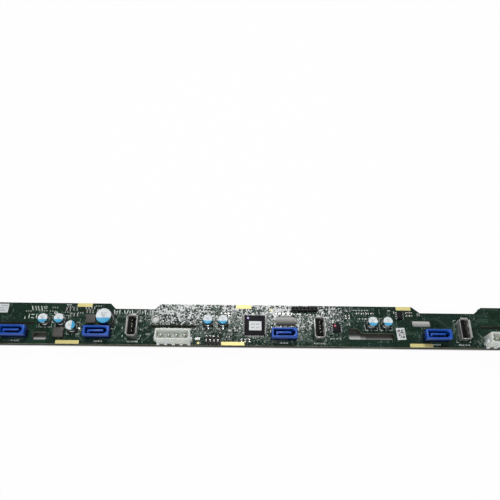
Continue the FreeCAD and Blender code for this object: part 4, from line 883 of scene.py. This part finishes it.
bars = []
for along, across, turn, kindName in canPlan["places"]:
    side = inkPlan["canSide"][kindName]
    bars += cornerBars(along, across, side, side, inkPlan["canReach"])
for along in inkPlan["headers"]:
    bars += wordBars(along, *inkPlan["headerWord"])
for along in inkPlan["ports"]:
    bars += cornerBars(along, *inkPlan["portOutline"])
    bars += wordBars(along, *inkPlan["portWord"])
bars += cornerBars(*inkPlan["driverOutline"])
bars += inkPlan["marks"]
notch = inkPlan["notch"]
for number in range(notch["count"]):
    tall = notch["heights"][number % 5]
    across = notch["across"] - (notch["dotDrop"] if tall < 1 else 0)
    bars.append((notch["along"] + number * notch["pitch"], across, notch["wide"], tall,
                 notch["turns"][number % 4]))
inkSpots = [placeAt(spot(along, across), turn, (long, deep, 1)) for along, across, long, deep, turn in bars]
handOver(repeated(slab(1, 1, inkPlan["tall"]), inkSpots), "legend", "screenInk")
print("stage: legend")

# two paint dots, and one open via drawn as a flat dark disc, painted shade in place of its hole
dotPlan = {
    # name: (station, across, height, radius, finish)
    "passDot": (194.6, 18.6, 1.5, 0.75, "violetDot"),
    "markDot": (253.2, 13.8, 1.7, 0.7, "redDot"),
    # the open via: painted shade, a dark disc where the hole would be
    "openVia": (161.9, 14.6, 0.0, 0.6, "labelInk"),
}
for name, (along, across, height, radius, finish) in dotPlan.items():
    dot = turnedShape(20, radius, 0.0, 0.05)
    dot.data.transform(placeAt(spot(along, across, height)))
    handOver(dot, name, finish)

# paper labels with plain bars in place of their print
labelPlan = {
    "chipLabel": {"along": 199.5, "across": 13.2, "long": 8.3, "deep": 6.3, "height": 1.5, "turn": 0.0},
    "endLabel": {"along": 24.2, "across": 24.2, "long": 16.4, "deep": 6.3, "height": 0.02, "turn": 0.0},
    "codeLabel": {"along": 297.8, "across": 9.1, "long": 5.8, "deep": 8.3, "height": 0.02, "turn": 3.0},
}
paperPlan = {"thick": 0.09, "easing": 0.02, "print": 0.02}
printPlan = {
    # bars in a row: how many, first, pitch and length; then each row: across, depth, bars left out
    "chipLabel": (9, -2.6, 0.65, 0.45, ((1.1, 1.1, (4,)), (-1.2, 1.1, (4,)))),
    "endLabel": (14, -6.8, 1.05, 0.7,
                 ((1.7, 0.9, (4, 9)), (0.1, 0.9, (2, 7, 12)), (-1.6, 1.1, (3, 8, 13)))),
}
codePlan = {"seed": 5, "columns": 7, "rows": 9, "pitch": 0.65, "square": 0.66, "left": -1.95, "front": -2.6}
for name, plan in labelPlan.items():
    sheet = slab(plan["long"], plan["deep"], paperPlan["thick"], paperPlan["easing"])
    sheet.data.transform(placeAt(spot(plan["along"], plan["across"], plan["height"]), plan["turn"]))
    handOver(sheet, name, "labelPaper")


def labelBars(name, marks, finish):
    # each mark: shift along and across from the label's middle, length, depth
    plan = labelPlan[name]
    top = placeAt(spot(plan["along"], plan["across"], plan["height"] + paperPlan["thick"]), plan["turn"])
    spots = [top @ placeAt(Vector((mm(x), mm(y), 0)), 0, (long, deep, 1)) for x, y, long, deep in marks]
    return handOver(repeated(slab(1, 1, paperPlan["print"]), spots), name + "Print", finish)


for name, (count, first, pitch, long, rows) in printPlan.items():
    marks = []
    for across, deep, gaps in rows:
        for number in range(count):
            if number not in gaps:
                marks.append((first + number * pitch, across, long, deep))
    labelBars(name, marks, "labelGrey")
# a made-up pattern of squares, not a code
codeChance = random.Random(codePlan["seed"])
squares = []
for column in range(codePlan["columns"]):
    for row in range(codePlan["rows"]):
        if codeChance.random() < 0.5:
            x = codePlan["left"] + column * codePlan["pitch"]
            y = codePlan["front"] + row * codePlan["pitch"]
            squares.append((x, y, codePlan["square"], codePlan["square"]))
labelBars("codeLabel", squares, "labelInk")
print("stage: labels")

# table, backdrop, lights and camera
sceneNow = bpy.context.scene
tablePlan = {
    # the table's size, the backdrop's radius and height, and how far the board stands off; metres
    "wide": 6.0,
    "round": 2.9,
    "sides": 96,
    "tall": 2.4,
    "along": 0.06,
    "gap": 0.0001,
    "open": "#e8e8e8",
    # the table's paint in the strip under the board: painted shade
    "shaded": "#5a5a57",
    "lift": 0.97,
    # middle and half size of the strip under the board that is painted with shade, in the table's own frame,
    # and the width over which the table goes from that painted shade to white round it; metres
    "middle": (0.0204, -0.0033, 0.0),
    "half": (0.2085, 0.0122, 1.0),
    "fade": 0.0012,
    # painted light, as if through the windows, slots and hole on to the table: middle station, half
    # width, where it starts, is full and stops across the board in mm, and how much it lifts the table
    "patches": (
        (236.2, 30.0, 17.3, 25.2, 27.5, 0.48), (296.2, 30.0, 15.1, 23.2, 27.5, 0.5),
        (266.85, 5.85, 11.6, 8.6, 5.0, 0.4), (274.5, 1.8, 10.8, 8.0, 5.0, 0.28),
        (285.65, 9.35, 10.1, 7.6, 5.0, 0.2), (56.5, 8.0, 8.1, 6.1, 4.3, 0.34),
        (130.2, 2.8, 18.6, 19.0, 26.0, 0.6),
    ),
}
tableSpot = Vector((tablePlan["along"], 0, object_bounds()[0].z - tablePlan["gap"]))


def tableMaterial(plan):
    made = bpy.data.materials.new("pale table")
    made.use_nodes = True
    tree = made.node_tree
    tree.nodes.clear()
    output = addNode(tree, "ShaderNodeOutputMaterial")
    rays = addNode(tree, "ShaderNodeLightPath")
    seen = addNode(tree, "ShaderNodeMath", {"operation": "MAXIMUM"},
                   {0: rays.outputs["Is Camera Ray"], 1: rays.outputs["Is Glossy Ray"]})
    seenAll = addNode(tree, "ShaderNodeMath", {"operation": "MAXIMUM"},
                      {0: seen.outputs[0], 1: rays.outputs["Is Transmission Ray"]})
    # only the open table is lifted to white; close to the board it keeps its real shadow, and its paint there
    # is the darker painted shade
    place = addNode(tree, "ShaderNodeTexCoord").outputs["Object"]
    offset = addNode(tree, "ShaderNodeVectorMath", {"operation": "SUBTRACT"}, {0: place, 1: plan["middle"]})
    apart = addNode(tree, "ShaderNodeVectorMath", {"operation": "ABSOLUTE"}, {0: offset.outputs[0]})
    beyond = addNode(tree, "ShaderNodeVectorMath", {"operation": "SUBTRACT"},
                     {0: apart.outputs[0], 1: plan["half"]})
    outside = addNode(tree, "ShaderNodeVectorMath", {"operation": "MAXIMUM"},
                      {0: beyond.outputs[0], 1: (0, 0, 0)})
    gap = addNode(tree, "ShaderNodeVectorMath", {"operation": "LENGTH"}, {0: outside.outputs[0]})
    rise = addNode(tree, "ShaderNodeMapRange", {"interpolation_type": "SMOOTHSTEP"},
                   {"Value": gap.outputs["Value"], "From Max": plan["fade"], "To Max": plan["lift"]})
    parts = addNode(tree, "ShaderNodeSeparateXYZ", None, {0: place})
    lifted = rise
    for along, half, start, full, stop, amount in plan["patches"]:
        middle = spot(along, (start + stop) / 2) - tableSpot
        beside = addNode(tree, "ShaderNodeMath", {"operation": "COMPARE"},
                         {0: parts.outputs["X"], 1: middle.x, 2: mm(half)})
        within = addNode(tree, "ShaderNodeMath", {"operation": "COMPARE"},
                         {0: parts.outputs["Y"], 1: middle.y, 2: mm(abs(stop - start) / 2)})
        ramp = addNode(tree, "ShaderNodeMapRange", {"interpolation_type": "SMOOTHSTEP"},
                       {"Value": parts.outputs["Y"], "From Min": spot(0, start).y,
                        "From Max": spot(0, full).y, "To Max": amount})
        area = addNode(tree, "ShaderNodeMath", {"operation": "MULTIPLY"},
                       {0: beside.outputs[0], 1: within.outputs[0]})
        patch = addNode(tree, "ShaderNodeMath", {"operation": "MULTIPLY"},
                        {0: area.outputs[0], 1: ramp.outputs[0]})
        lifted = addNode(tree, "ShaderNodeMath", {"operation": "MAXIMUM"},
                         {0: lifted.outputs[0], 1: patch.outputs[0]})
    share = addNode(tree, "ShaderNodeMath", {"operation": "MULTIPLY"},
                    {0: seenAll.outputs[0], 1: lifted.outputs[0]})
    tone = addNode(tree, "ShaderNodeMix", {"data_type": "RGBA"},
                   {0: rise.outputs[0], 6: colour(plan["shaded"]), 7: colour(plan["open"])})
    paint = addNode(tree, "ShaderNodeBsdfDiffuse", None, {"Color": tone.outputs[2]})
    glow = addNode(tree, "ShaderNodeEmission", None, {"Color": colour("#ffffff"), "Strength": 1.0})
    mixed = addNode(tree, "ShaderNodeMixShader", None,
                    {0: share.outputs[0], 1: paint.outputs[0], 2: glow.outputs[0]})
    tree.links.new(mixed.outputs[0], output.inputs["Surface"])
    return made


bpy.ops.object.select_all(action="DESELECT")
bpy.ops.mesh.primitive_plane_add(size=tablePlan["wide"], location=tableSpot)
floor = bpy.context.object
floorMaterial = tableMaterial(tablePlan)
floor.data.materials.append(floorMaterial)
# a round backdrop in the same white, which only low views reach
bpy.ops.object.select_all(action="DESELECT")
bpy.ops.mesh.primitive_cylinder_add(vertices=tablePlan["sides"], radius=tablePlan["round"],
                                    depth=tablePlan["tall"], end_fill_type="NOTHING",
                                    location=tableSpot + Vector((0, 0, tablePlan["tall"] / 2)))
backdrop = bpy.context.object
bpy.ops.object.shade_smooth()
backdrop.data.materials.append(floorMaterial)

roomPlan = {"colour": "#f4f6f8", "strength": 0.12}
world = bpy.data.worlds.new("room")
sceneNow.world = world
world.use_nodes = True
surround = world.node_tree.nodes["Background"]
surround.inputs["Color"].default_value = colour(roomPlan["colour"])
surround.inputs["Strength"].default_value = roomPlan["strength"]

lampPlan = {
    # name: (place, aim, long, deep, watts); metres
    "overheadLamp": ((0.069, 0.332, 0.65), (0.069, 0.0, 0.0), 0.38, 0.24, 3.3),
    "keyLamp": ((0.05, -0.24, 0.87), (0.05, 0.0, 0.0), 0.2, 0.2, 2.0),
    "frontFill": ((-0.25, -0.75, 0.75), (0.05, 0.0, 0.0), 0.9, 0.7, 3.0),
}
for name, (place, aim, long, deep, watts) in lampPlan.items():
    lampData = bpy.data.lights.new(name, "AREA")
    lampData.shape = "RECTANGLE"
    lampData.size = long
    lampData.size_y = deep
    lampData.energy = watts
    lamp = bpy.data.objects.new(name, lampData)
    sceneNow.collection.objects.link(lamp)
    lamp.location = place
    lamp.rotation_mode = "QUATERNION"
    lamp.rotation_quaternion = (Vector(aim) - Vector(place)).to_track_quat("-Z", "Y")

view = {
    # lens in mm on its sensor; the pose in degrees and metres
    "lens": 37.11,
    "sensor": 36.0,
    "near": 0.01,
    "down": 63.833,
    "swing": 2.243,
    "roll": 2.797,
    "place": (0.057208, -0.111218, 0.334317),
}
cameraData = bpy.data.cameras.new("mainCamera")
cameraData.lens = view["lens"]
cameraData.sensor_width = view["sensor"]
cameraData.clip_start = view["near"]
camera = bpy.data.objects.new("mainCamera", cameraData)
sceneNow.collection.objects.link(camera)
down, swing, roll = (math.radians(view[key]) for key in ("down", "swing", "roll"))
ahead = Vector((math.sin(swing) * math.cos(down), math.cos(swing) * math.cos(down), -math.sin(down)))
right = ahead.cross(Vector((0, 0, 1))).normalized()
above = right.cross(ahead)
turnedRight = right * math.cos(roll) + above * math.sin(roll)
turnedUp = above * math.cos(roll) - right * math.sin(roll)
axes = Matrix((turnedRight, turnedUp, -ahead)).transposed()
camera.matrix_world = Matrix.Translation(Vector(view["place"])) @ axes.to_4x4()
sceneNow.camera = camera

sceneNow.view_settings.view_transform = "Standard"
print("stage: done")
